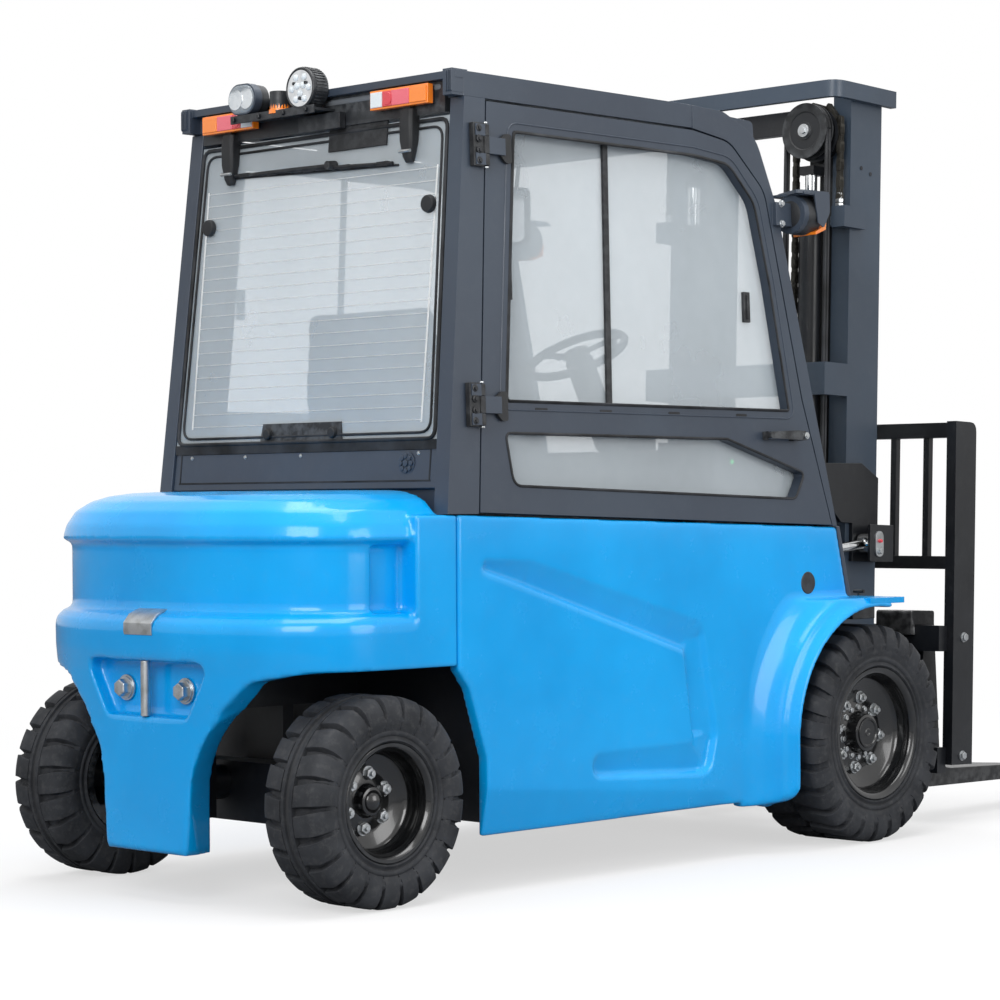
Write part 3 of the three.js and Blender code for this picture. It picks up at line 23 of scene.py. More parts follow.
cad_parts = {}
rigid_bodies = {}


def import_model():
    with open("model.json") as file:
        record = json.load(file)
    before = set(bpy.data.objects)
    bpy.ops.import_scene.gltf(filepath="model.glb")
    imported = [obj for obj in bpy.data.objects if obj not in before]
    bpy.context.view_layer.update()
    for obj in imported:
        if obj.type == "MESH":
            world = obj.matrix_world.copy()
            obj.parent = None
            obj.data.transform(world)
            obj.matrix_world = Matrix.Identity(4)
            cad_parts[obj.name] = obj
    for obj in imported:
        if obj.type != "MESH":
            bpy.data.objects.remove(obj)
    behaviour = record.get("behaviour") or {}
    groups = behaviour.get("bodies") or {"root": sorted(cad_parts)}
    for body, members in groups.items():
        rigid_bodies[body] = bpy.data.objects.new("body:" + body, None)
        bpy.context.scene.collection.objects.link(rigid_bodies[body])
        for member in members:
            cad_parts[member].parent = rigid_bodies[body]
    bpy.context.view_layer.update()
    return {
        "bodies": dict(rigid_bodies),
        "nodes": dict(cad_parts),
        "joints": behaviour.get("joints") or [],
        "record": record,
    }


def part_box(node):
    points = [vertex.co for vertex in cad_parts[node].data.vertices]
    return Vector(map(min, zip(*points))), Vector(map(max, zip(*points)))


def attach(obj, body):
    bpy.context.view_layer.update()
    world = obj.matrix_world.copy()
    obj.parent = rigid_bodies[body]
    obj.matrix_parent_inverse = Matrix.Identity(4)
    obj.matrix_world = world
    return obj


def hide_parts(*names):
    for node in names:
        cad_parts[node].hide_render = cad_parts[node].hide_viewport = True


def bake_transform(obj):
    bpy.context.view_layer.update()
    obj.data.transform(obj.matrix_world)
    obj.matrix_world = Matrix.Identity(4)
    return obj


LOG = logging.getLogger("forklift")
MM = 0.001
MERGE_M = 1e-5
Point = tuple[float, float, float]
Corner = tuple[float, ...]


class Side(Enum):
    """A side of the truck: the sign of Y there."""

    R = -1
    L = 1

    @property
    def mirror(self) -> Matrix:
        """The matrix that takes a right-hand piece to this side."""
        return Matrix.Diagonal((1, -self.value, 1, 1))


# ---------------------------------------------------------------------------------------------- spaces


@dataclass(frozen=True)
class Spaces:
    """The places that pieces are drawn in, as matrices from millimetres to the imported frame.

    Args:
        shift: distance of the drive axle ahead of the frame's origin, in metres.
        mast_lean: how far the mast leans forward at rest, in degrees.
        cab_lean: how far each side of the cab leans inwards, in degrees.
    """

    shift: float
    mast_lean: float = 2.0
    cab_lean: float = 1.9
    axle_height: float = 353.0
    body_half: float = 640.0
    cab_base: float = 1075.0

    @property
    def truck(self) -> Matrix:
        """Millimetres from the drive axle on the ground."""
        return Matrix.Translation((self.shift, 0, 0)) @ Matrix.Scale(MM, 4)

    @property
    def mast(self) -> Matrix:
        """The mast's own u, y and w from the drive axle's centre."""
        turn = Matrix.Rotation(math.radians(self.mast_lean), 4, "Y")
        return self.truck @ Matrix.Translation((0, 0, self.axle_height)) @ turn

    def cab(self, side: Side) -> Matrix:
        """The leaning side of the cab: Y runs inwards from its outer face and Z is the real height.

        Args:
            side: the side of the truck.

        Returns:
            The frame.
        """
        turn = Matrix.Rotation(math.radians(-self.cab_lean), 4, "X")
        foot = Matrix.Translation((0, -self.body_half, self.cab_base))
        return self.truck @ side.mirror @ foot @ turn @ Matrix.Translation((0, 0, -self.cab_base))

    def side(self, side: Side) -> Matrix:
        """The truck's own place, or its mirror image for the left side."""
        return self.truck @ side.mirror


# ---------------------------------------------------------------------------------------------- meshes


def rounded(corners: Sequence[Corner], steps: int = 8) -> list[tuple[float, float]]:
    """Rounds the corners of an outline.

    Args:
        corners: (a, b) or (a, b, radius) for each corner.
        steps: points of each rounded corner.

    Returns:
        The outline's points in order.
    """
    out: list[tuple[float, float]] = []
    count = len(corners)
    for i, corner in enumerate(corners):
        here = Vector(corner[:2])
        radius = corner[2] if len(corner) > 2 else 0
        if not radius:
            out.append(tuple(here))
            continue
        before, after = Vector(corners[i - 1][:2]) - here, Vector(corners[(i + 1) % count][:2]) - here
        edge = min(before.length, after.length)
        half = before.angle(after) / 2
        run = min(radius / math.tan(half), edge * 0.48)
        start, end = here + before.normalized() * run, here + after.normalized() * run
        for k in range(steps + 1):
            t = k / steps
            out.append(tuple(start * (1 - t) ** 2 + here * (2 * t * (1 - t)) + end * t * t))
    return out


def span(sign: int, near: float, far: float) -> tuple[float, float]:
    """The low and the high end of a stretch on one side of the middle."""
    return (near, far) if sign > 0 else (-far, -near)


def turned(spot: Point, degrees: float, axis: str) -> Matrix:
    """A place at a point, turned about one axis."""
    return Matrix.Translation(spot) @ Matrix.Rotation(math.radians(degrees), 4, axis)


def smooth_path(points: Sequence[Point], per: int = 6, closed: bool = False) -> list[Vector]:
    """A smooth curve through points.

    Args:
        points: the points it passes through.
        per: points made for each stretch.
        closed: whether the last point joins the first.

    Returns:
        The curve's points.
    """
    raw = [Vector(p) for p in points]
    count = len(raw)
    made: list[Vector] = []
    for i in range(count if closed else count - 1):
        if closed:
            a, b, c, d = (raw[(i + k) % count] for k in (-1, 0, 1, 2))
        else:
            a, b, c, d = raw[max(i - 1, 0)], raw[i], raw[i + 1], raw[min(i + 2, count - 1)]
        for k in range(per):
            t = k / per
            made.append(0.5 * (2 * b + (c - a) * t + (2 * a - 5 * b + 4 * c - d) * t**2
                               + (3 * b - a - 3 * c + d) * t**3))
    if not closed:
        made.append(raw[-1])
    return made


class Form:
    """A mesh being drawn, in the millimetres of whichever space it is published in."""

    AXES = {"x": (1, 2, 0), "y": (0, 2, 1), "z": (0, 1, 2)}

    def __init__(self) -> None:
        """Sets up what it works on."""
        self.points: list[Vector] = []
        self.faces: list[tuple[int, ...]] = []

    def add(self, points: Sequence, faces: Sequence, place: Matrix | None = None) -> "Form":
        """Adds points and faces, moved by a matrix where one is given.

        Args:
            points: the points to add.
            faces: indices into the new points.
            place: moves what is added, where given.

        Returns:
            This form.
        """
        base = len(self.points)
        self.points += [place @ Vector(p) if place else Vector(p) for p in points]
        self.faces += [tuple(base + i for i in f) for f in faces]
        return self

    def join(self, other: "Form", place: Matrix | None = None) -> "Form":
        """Adds another form."""
        return self.add(other.points, other.faces, place)

    def box(self, x: tuple, y: tuple, z: tuple, place: Matrix | None = None) -> "Form":
        """Adds a block between two values along each axis.

        Args:
            x: low and high X.
            y: low and high Y.
            z: low and high Z.
            place: moves what is added, where given.

        Returns:
            This form.
        """
        points = [(a, b, c) for a in x for b in y for c in z]
        faces = [(0, 1, 3, 2), (4, 6, 7, 5), (0, 4, 5, 1), (2, 3, 7, 6), (0, 2, 6, 4), (1, 5, 7, 3)]
        return self.add(points, faces, place)

    def prism(self, axis: str, corners: Sequence[Corner], low: float, high: float,
              holes: Sequence[Sequence[Corner]] = (), steps: int = 8, place: Matrix | None = None) -> "Form":
        """Adds an outline pushed along an axis.

        Args:
            axis: the axis it is pushed along; the outline lies in the other two, in X, Y, Z order.
            corners: the outline's corners, as in rounded().
            low: where it starts along the axis.
            high: where it ends.
            holes: outlines cut right through it.
            steps: points of each rounded corner.
            place: a matrix that moves it.

        Returns:
            The form itself.
        """
        loops = [rounded(c, steps) for c in (corners, *holes)]
        flat = [p for loop in loops for p in loop]
        ia, ib, ic = self.AXES[axis]

        def at(p: tuple[float, float], level: float) -> list[float]:
            """The point as a list."""
            spot = [0.0, 0.0, 0.0]
            spot[ia], spot[ib], spot[ic] = p[0], p[1], level
            return spot

        caps = tessellate_polygon([[Vector((*p, 0)) for p in loop] for loop in loops])
        count = len(flat)
        faces = [tuple(t) for t in caps] + [tuple(i + count for i in reversed(t)) for t in caps]
        base = 0
        for loop in loops:
            size = len(loop)
            faces += [(base + i, base + (i + 1) % size, base + (i + 1) % size + count, base + i + count)
                      for i in range(size)]
            base += size
        return self.add([at(p, low) for p in flat] + [at(p, high) for p in flat], faces, place)

    def lathe(self, profile: Sequence[tuple[float, float]], sides: int = 48, loop: bool = False,
              place: Matrix | None = None) -> "Form":
        """Adds a profile of (radius, distance along Y) turned round the Y axis.

        Args:
            profile: the profile's points; a radius of zero closes that end.
            sides: how many steps make the turn.
            loop: whether the last point joins the first.
            place: a matrix that moves it.

        Returns:
            The form itself.
        """
        points: list[Point] = []
        rows: list[list[int]] = []
        for radius, along in profile:
            if radius < 1e-6:
                rows.append([len(points)] * sides)
                points.append((0, along, 0))
                continue
            rows.append(list(range(len(points), len(points) + sides)))
            points += [(radius * math.sin(2 * math.pi * k / sides), along,
                        radius * math.cos(2 * math.pi * k / sides)) for k in range(sides)]
        faces = []
        for i in range(len(rows) if loop else len(rows) - 1):
            one, two = rows[i], rows[(i + 1) % len(rows)]
            for k in range(sides):
                j = (k + 1) % sides
                face = list(dict.fromkeys((one[k], one[j], two[j], two[k])))
                if len(face) > 2:
                    faces.append(tuple(face))
        return self.add(points, faces, place)

    def rod(self, start: Sequence[float], end: Sequence[float], radius: float, sides: int = 24,
            taper: float = 1.0, bore: float = 0.0, place: Matrix | None = None) -> "Form":
        """Adds a round bar, or a ring where it has a bore, from one point to another.

        Args:
            start: its first end.
            end: its other end.
            radius: its radius.
            sides: how many sides it is drawn with.
            taper: radius of its end as a share of its start.
            bore: radius of the hole through it.
            place: moves what is added, where given.

        Returns:
            This form.
        """
        a, b = Vector(start), Vector(end)
        turn = (b - a).to_track_quat("Y", "Z").to_matrix().to_4x4()
        length = (b - a).length
        if bore:
            profile, loop = [(bore, 0), (radius, 0), (radius * taper, length), (bore, length)], True
        else:
            profile, loop = [(0, 0), (radius, 0), (radius * taper, length), (0, length)], False
        spot = Matrix.Translation(a) @ turn
        return self.lathe(profile, sides, loop, place @ spot if place else spot)

    def loft(self, rings: Sequence[Sequence], caps: bool = True, closed: bool = False) -> "Form":
        """Adds a skin through rings of equal point counts.

        Args:
            rings: closed rings of points, in order.
            caps: whether the end rings are filled.
            closed: whether the last one joins the first.

        Returns:
            This form.
        """
        count = len(rings[0])
        points = [p for ring in rings for p in ring]
        total = len(rings)
        faces = []
        for i in range(total if closed else total - 1):
            a, b = i * count, ((i + 1) % total) * count
            faces += [(a + k, a + (k + 1) % count, b + (k + 1) % count, b + k) for k in range(count)]
        if caps and not closed:
            faces += [tuple(range(count)), tuple(reversed(range((total - 1) * count, total * count)))]
        return self.add(points, faces)

    def tube(self, path: Sequence, radius: float, sides: int = 12, closed: bool = False,
             flat: float = 1.0) -> "Form":
        """Adds a round or flattened tube along a path of points.

        Args:
            path: points along its middle.
            radius: its radius.
            sides: how many sides it is drawn with.
            closed: whether the last one joins the first.
            flat: its thickness as a share of its width.

        Returns:
            This form.
        """
        spots = [Vector(p) for p in path]
        total = len(spots)
        rings, normal = [], None
        for i, spot in enumerate(spots):
            ahead = spots[(i + 1) % total] if closed or i + 1 < total else spot
            back = spots[i - 1] if closed or i else spot
            along = (ahead - back).normalized()
            if normal is None:
                normal = along.orthogonal().normalized()
                if abs(along.z) < 0.9:
                    normal = along.cross(Vector((0, 0, 1))).normalized()
            normal = (normal - along * normal.dot(along)).normalized()
            other = along.cross(normal)
            rings.append([spot + normal * (radius * flat * math.cos(2 * math.pi * k / sides))
                          + other * (radius * math.sin(2 * math.pi * k / sides)) for k in range(sides)])
        return self.loft(rings, closed=closed)

    def hexagon(self, spot: Sequence[float], facing: Sequence[float], across: float,
                height: float) -> "Form":
        """Adds a hexagon bolt head with a washer and a chamfered top.

        Args:
            spot: the middle of its foot.
            facing: the way its top points.
            across: width across its flats.
            height: its height.

        Returns:
            This form.
        """
        turn = Matrix.Translation(Vector(spot)) @ Vector(facing).to_track_quat("Y", "Z").to_matrix().to_4x4()
        edge = across / math.sqrt(3)
        self.lathe([(0, 0), (across * 0.72, 0), (across * 0.72, height * 0.22), (0, height * 0.22)], 24,
                   place=turn)
        return self.lathe([(0, 0), (edge, 0), (edge, height * 0.88), (edge * 0.86, height), (0, height)], 6,
                          place=turn)


# -------------------------------------------------------------------------------------------- finishes


class Shader:
    """A procedural material being wired round one Principled shader."""

    def __init__(self, name: str) -> None:
        """Sets up what it works on."""
        self.material = bpy.data.materials.new(name)
        self.material.use_nodes = True
        self.tree = self.material.node_tree
        self.shader = self.tree.nodes["Principled BSDF"]
        self.place = self.node("ShaderNodeTexCoord").outputs["Object"]

    def node(self, kind: str, settings: dict | None = None, **inputs: object) -> bpy.types.Node:
        """Adds a node, sets its properties, and sets or links its inputs.

        Args:
            kind: the node type.
            settings: properties set on the node.
            inputs: named inputs.

        Returns:
            The node.
        """
        made = self.tree.nodes.new(kind)
        for key, value in (settings or {}).items():
            setattr(made, key, value)
        for key, value in inputs.items():
            socket = made.inputs[int(key[1:])] if key[0] == "_" and key[1:].isdigit() else made.inputs[key]
            if isinstance(value, bpy.types.NodeSocket):
                self.tree.links.new(value, socket)
            else:
                socket.default_value = value
        return made

    def noise(self, scale: float, detail: float = 3.0, roughness: float = 0.5,
              stretch: Point | None = None) -> bpy.types.NodeSocket:
        """Noise in the object's own coordinates, stretched where asked.

        Args:
            scale: size of the pattern, larger is finer.
            detail: how many octaves it has.
            roughness: weight of its finer octaves.
            stretch: scale along each axis.

        Returns:
            The noise, from 0 to 1.
        """
        place = self.place
        if stretch:
            place = self.node("ShaderNodeMapping", Vector=place, Scale=stretch).outputs[0]
        return self.node("ShaderNodeTexNoise", Vector=place, Scale=scale, Detail=detail,
                         Roughness=roughness).outputs["Fac"]

    def span(self, value: bpy.types.NodeSocket, low: float, high: float, to_low: float = 0.0,
             to_high: float = 1.0) -> bpy.types.NodeSocket:
        """A value mapped from one range to another and clamped."""
        return self.node("ShaderNodeMapRange", _0=value, _1=low, _2=high, _3=to_low, _4=to_high).outputs[0]

    def mix(self, share: object, one: object, two: object) -> bpy.types.NodeSocket:
        """A mix of two colours."""
        return self.node("ShaderNodeMix", {"data_type": "RGBA"}, _0=share, _6=one, _7=two).outputs[2]

    def times(self, one: object, two: object) -> bpy.types.NodeSocket:
        """The product of two numbers."""
        return self.node("ShaderNodeMath", {"operation": "MULTIPLY"}, _0=one, _1=two).outputs[0]

    def worn_and_highlit_edge(self, start: float = 0.53, end: float = 0.62) -> bpy.types.NodeSocket:
        """Where an outer edge sticks out, broken up by noise: the lighter colour laid there is partly
        scuffed finish and partly a painted highlight along the edge.
        """
        edge = self.node("ShaderNodeNewGeometry").outputs["Pointiness"]
        return self.times(self.span(edge, start, end), self.span(self.noise(35.0, 4.0), 0.42, 0.62))

    def bump(self, height: bpy.types.NodeSocket, distance: float, strength: float = 0.5,
             under: bpy.types.NodeSocket | None = None) -> bpy.types.NodeSocket:
        """A bump from a height, in metres.

        Args:
            height: the height that shapes it.
            distance: depth in metres.
            strength: how strongly it tells.
            under: a normal to build on.

        Returns:
            The normal.
        """
        extra = {"Normal": under} if under else {}
        return self.node("ShaderNodeBump", Height=height, Distance=distance, Strength=strength,
                         **extra).outputs[0]

    def wire(self, **inputs: object) -> bpy.types.Material:
        """Sets or links the shader's own inputs, named with underscores for spaces.

        Args:
            inputs: named inputs.

        Returns:
            The finished material.
        """
        for key, value in inputs.items():
            socket = self.shader.inputs[key.replace("_", " ")]
            if isinstance(value, bpy.types.NodeSocket):
                self.tree.links.new(value, socket)
            else:
                socket.default_value = value
        return self.material


def linear(code: str) -> tuple[float, float, float, float]:
    """A colour written as six hexadecimal digits, as the linear values that a shader takes."""
    parts = [int(code[i : i + 2], 16) / 255 for i in (0, 2, 4)]
    return (*(p / 12.92 if p <= 0.04045 else ((p + 0.055) / 1.055) ** 2.4 for p in parts), 1.0)


@dataclass(frozen=True)
class Finish:
    """What every finish has: a name for its material and the record's slot that it belongs to."""

    name: str
    slot: str

    def build(self) -> bpy.types.Material:
        """Makes the material, which each kind of finish does its own way."""
        raise NotImplementedError


@dataclass(frozen=True)
class Paint(Finish):
    """Sprayed paint with an even skin, a little orange peel, and edges lightened partly by scuffing and
    partly by a painted highlight.

    Args:
        colour: the paint.
        deep: the same paint where it is thicker or in shade.
        wear_and_highlight_colour: what shows at the sticking-out edges: scuffed finish, and a painted
            highlight where it is a lighter copy of the paint.
        roughness: how blurred its reflections are.
        coat: how much clear gloss lies over it.
        peel: depth of the orange peel, in metres.
        grain: size of the peel, as a noise scale.
        wear_and_highlight_amount: how strongly the edges are lightened, from 0 to 1.
        dust: how much dust lies in patches, from 0 to 1.
        shine: strength of the bare paint's own reflection.
    """

    colour: str
    deep: str
    wear_and_highlight_colour: str
    roughness: float
    coat: float = 0.0
    peel: float = 0.0003
    grain: float = 220.0
    wear_and_highlight_amount: float = 0.5
    dust: float = 0.025
    shine: float = 0.5

    def build(self) -> bpy.types.Material:
        """Makes the paint.

        Returns:
            The material.
        """
        s = Shader(self.name)
        body = s.mix(s.span(s.noise(2.2, 3.0), 0.38, 0.64), linear(self.deep), linear(self.colour))
        dusty = s.mix(s.span(s.noise(26.0, 6.0, 0.65), 0.52, 0.85, 0.0, self.dust), body, linear("A7A9A6"))
        # Sticking-out edges take a lighter colour: partly scuffed finish, partly a painted highlight.
        worn_and_highlit_base = s.mix(s.times(s.worn_and_highlit_edge(), self.wear_and_highlight_amount), dusty, linear(self.wear_and_highlight_colour))
        rough = s.span(s.noise(9.0, 5.0, 0.6), 0.3, 0.7, self.roughness * 0.82, self.roughness * 1.22)
        wave = s.bump(s.noise(14.0, 1.5), self.peel * 3.0, 0.35)
        return s.wire(Base_Color=worn_and_highlit_base, Roughness=rough, Coat_Weight=self.coat, Coat_Roughness=0.06,
                      Specular_IOR_Level=self.shine,
                      Normal=s.bump(s.noise(self.grain, 2.0), self.peel, 0.5, wave))


@dataclass(frozen=True)
class Rubber(Finish):
    """Black rubber with a fine grain, scuffs, and pale dust in its hollows and in specks."""

    colour: str
    dust: str
    roughness: float = 0.82
    dusting: float = 0.35
    grain: float = 420.0

    def build(self) -> bpy.types.Material:
        """Makes the rubber.

        Returns:
            The material.
        """
        s = Shader(self.name)
        base = s.mix(s.span(s.noise(8.0, 4.0), 0.35, 0.7), linear(self.colour), linear("34363A"))
        hollow = s.span(s.node("ShaderNodeNewGeometry").outputs["Pointiness"], 0.50, 0.40)
        speck = s.span(s.noise(48.0, 6.0, 0.7), 0.5, 0.75)
        dirt = s.node("ShaderNodeMath", {"operation": "MAXIMUM"}, _0=s.times(hollow, 0.8),
                      _1=speck).outputs[0]
        dusty = s.mix(s.times(dirt, self.dusting), base, linear(self.dust))
        rough = s.span(s.noise(20.0, 4.0), 0.3, 0.7, self.roughness - 0.12, self.roughness + 0.1)
        scuff = s.bump(s.noise(70.0, 5.0, 0.7), 0.0012, 0.35)
        return s.wire(Base_Color=dusty, Roughness=rough, Specular_IOR_Level=0.35,
                      Normal=s.bump(s.noise(self.grain, 3.0), 0.0004, 0.6, scuff))


@dataclass(frozen=True)
class Metal(Finish):
    """Bare or plated metal, with a brushed or ground direction along one axis."""

    colour: str
    tarnish: str
    roughness: float
    brush: Point = (60.0, 60.0, 60.0)

    def build(self) -> bpy.types.Material:
        """Makes the metal.

        Returns:
            The material.
        """
        s = Shader(self.name)
        base = s.mix(s.span(s.noise(30.0, 5.0), 0.45, 0.75, 0.0, 0.7), linear(self.colour),
                     linear(self.tarnish))
        lines = s.noise(6.0, 3.0, 0.6, self.brush)
        rough = s.span(lines, 0.3, 0.7, self.roughness * 0.75, self.roughness * 1.3)
        return s.wire(Base_Color=base, Metallic=1.0, Roughness=rough,
                      Normal=s.bump(lines, 0.0001, 0.3))


@dataclass(frozen=True)
class Glass(Finish):
    """Safety glass drawn as a thin pale layer that what is behind shows through: its pale colour is a
    painted reflection of the white surround.
    """

    painted_reflection_colour: str
    painted_reflection_cover: float
    roughness: float = 0.03

    def build(self) -> bpy.types.Material:
        """Makes the glass.

        Returns:
            The material.
        """
        s = Shader(self.name)
        # How much the pale painted reflection covers what is behind, varying a little.
        painted_reflection_share = s.span(s.noise(2.0, 4.0, 0.6), 0.3, 0.7, self.painted_reflection_cover * 0.9, self.painted_reflection_cover * 1.12)
        smear = s.span(s.noise(7.0, 5.0, 0.7), 0.35, 0.75, self.roughness, self.roughness * 2.5)
        return s.wire(Base_Color=linear(self.painted_reflection_colour), Alpha=painted_reflection_share, Roughness=smear, Coat_Weight=0.5,
                      Coat_Roughness=0.02, Normal=s.bump(s.noise(1.6, 1.0), 0.0004, 0.2))


@dataclass(frozen=True)
class Grained(Finish):
    """Moulded plastic or vinyl with a leather grain.

    Args:
        colour: the main colour.
        second: a colour that it drifts to.
        roughness: how matt it is.
        cell: size of the grain, as a Voronoi scale.
        depth: depth of the grain, in metres.
    """

    colour: str
    second: str
    roughness: float
    cell: float = 520.0
    depth: float = 0.00035

    def build(self) -> bpy.types.Material:
        """Makes the plastic or vinyl.

        Returns:
            The material.
        """
        s = Shader(self.name)
        base = s.mix(s.span(s.noise(5.0, 4.0), 0.35, 0.7), linear(self.colour), linear(self.second))
        # Sticking-out edges turn a lighter grey: partly scuffed plastic, partly a painted highlight.
        worn_and_highlit_base = s.mix(s.times(s.worn_and_highlit_edge(), 0.35), base, linear("6C6F72"))
        cells = s.node("ShaderNodeTexVoronoi", {"feature": "DISTANCE_TO_EDGE"}, Vector=s.place,
                       Scale=self.cell).outputs["Distance"]
        rough = s.span(s.noise(12.0, 4.0), 0.3, 0.7, self.roughness * 0.85, self.roughness * 1.15)
        return s.wire(Base_Color=worn_and_highlit_base, Roughness=rough,
                      Normal=s.bump(s.span(cells, 0.0, 0.35), self.depth, 0.6))


@dataclass(frozen=True)
class Lens(Finish):
    """A lamp lens of coloured plastic with moulded prisms behind a glossy face."""

    colour: str
    bright: str
    prism: float = 160.0
    glow: float = 0.12

    def build(self) -> bpy.types.Material:
        """Makes the lens.

        Returns:
            The material.
        """
        s = Shader(self.name)
        ribs = s.node("ShaderNodeTexWave", {"bands_direction": "Z"}, Vector=s.place, Scale=self.prism,
                      Distortion=0.0).outputs["Fac"]
        columns = s.node("ShaderNodeTexWave", {"bands_direction": "Y"}, Vector=s.place,
                         Scale=self.prism * 0.6, Distortion=0.0).outputs["Fac"]
        grid = s.times(ribs, columns)
        base = s.mix(s.span(grid, 0.0, 0.6), linear(self.colour), linear(self.bright))
        return s.wire(Base_Color=base, Roughness=0.16, Coat_Weight=1.0, Coat_Roughness=0.03,
                      Emission_Color=base, Emission_Strength=self.glow,
                      Normal=s.bump(grid, 0.0008, 0.6))


# The third colour of each paint goes on its sticking-out edges: the lighter blue of the body paint is a
# painted highlight, the grey of the rims and forks is scuffing.
BODY_BLUE = Paint("body blue paint", "body_blue", "00A6EF", "0099E0", "6FBCEE", 0.24, coat=0.4, peel=0.0004,
                  wear_and_highlight_amount=0.15, shine=0.3)
CAB_GREY = Paint("cab blue-grey paint", "cab_grey", "38424F", "323B48", "66717F", 0.40, peel=0.00025,
                 grain=420.0, wear_and_highlight_amount=0.0)
FRAME_BLACK = Paint("frame black paint", "frame_black", "14171C", "101216", "5B6066", 0.36, peel=0.0003,
                    grain=300.0, wear_and_highlight_amount=0.0)
# The mast's black paint is drawn a lighter blue-grey than the frame's, standing for the sheen of the lamps
# on it: painted sheen.
MAST_BLACK_LIT = Paint("mast satin black paint", "frame_black", "3A4654", "343F4C", "6B7076", 0.38, peel=0.0003,
                  grain=300.0, wear_and_highlight_amount=0.0)
RIM_BLACK = Paint("rim gloss black paint", "rim_black", "0E0F11", "0A0B0C", "4A4D50", 0.22, coat=0.6,
                  wear_and_highlight_amount=0.5)
TYRE = Rubber("tyre rubber", "tyre", "1F2125", "6E6D6B", 0.78, 0.20, 260.0)
# This black rubber also stands for shade in openings: the drain slots, the rear panel's grooves and the
# rail's holes are painted shade in it.
SEAL_AND_SHADE_BLACK = Rubber("window gasket rubber", "hose_rubber", "0C0D0E", "4A4A48", 0.62, 0.10)
HOSE = Rubber("hydraulic hose", "hose_rubber", "101113", "3E3E3D", 0.55, 0.15, 900.0)
ZINC = Metal("zinc plated steel", "steel", "C3C6C8", "8D8F8C", 0.34)
CHAIN_STEEL = Metal("oiled chain steel", "steel", "5A5853", "2E2B27", 0.42)
FORK_STEEL = Paint("fork black paint", "frame_black", "1A1B1D", "141517", "7C7D7E", 0.40, peel=0.0006,
                   grain=120.0, wear_and_highlight_amount=0.9)
CHROME = Metal("hard chromed rod", "chrome", "DADCDD", "B4B6B7", 0.10, (2.0, 160.0, 160.0))
# The pale colour and part-cover of both glasses stand for the white surround reflected in them: painted
# reflection.
CLEAR = Glass("cab safety glass", "window", "DCE6EC", 0.34)
VINYL = Grained("grey seat vinyl", "seat_vinyl", "50565D", "454B52", 0.62, 620.0)
PLASTIC = Grained("black grained plastic", "trim", "1B1D20", "141517", 0.58)
LINING = Grained("grey cab lining", "trim", "6B7076", "5E6368", 0.70, 420.0)
LAMP_SHELL = Grained("lamp housing plastic", "trim", "25282C", "1C1E21", 0.40, 700.0, 0.0002)
AMBER = Lens("amber lamp lens", "trim", "E8700A", "FF9A2E")
RED = Lens("red lamp lens", "trim", "B90E24", "F04A58")
PINK = Lens("ribbed red lamp lens", "trim", "D8455A", "F2808A", 220.0)
LAMP_GLASS = Glass("work lamp glass", "window", "DCE6EC", 0.18)
PALE_LENS = Lens("clear lamp lens", "trim", "C9D2D8", "F2F6F8", 130.0, 0.08)
REFLECTOR = Metal("lamp reflector", "chrome", "E6E8EA", "BFC4C8", 0.14)
HEATER = Metal("window heater line", "steel", "F2F4F4", "DADCDC", 0.45)
LED_GREEN = Lens("green indicator", "trim", "3BD07A", "8CF0B0", 300.0, 0.8)


# ------------------------------------------------------------------------------------------ publishing


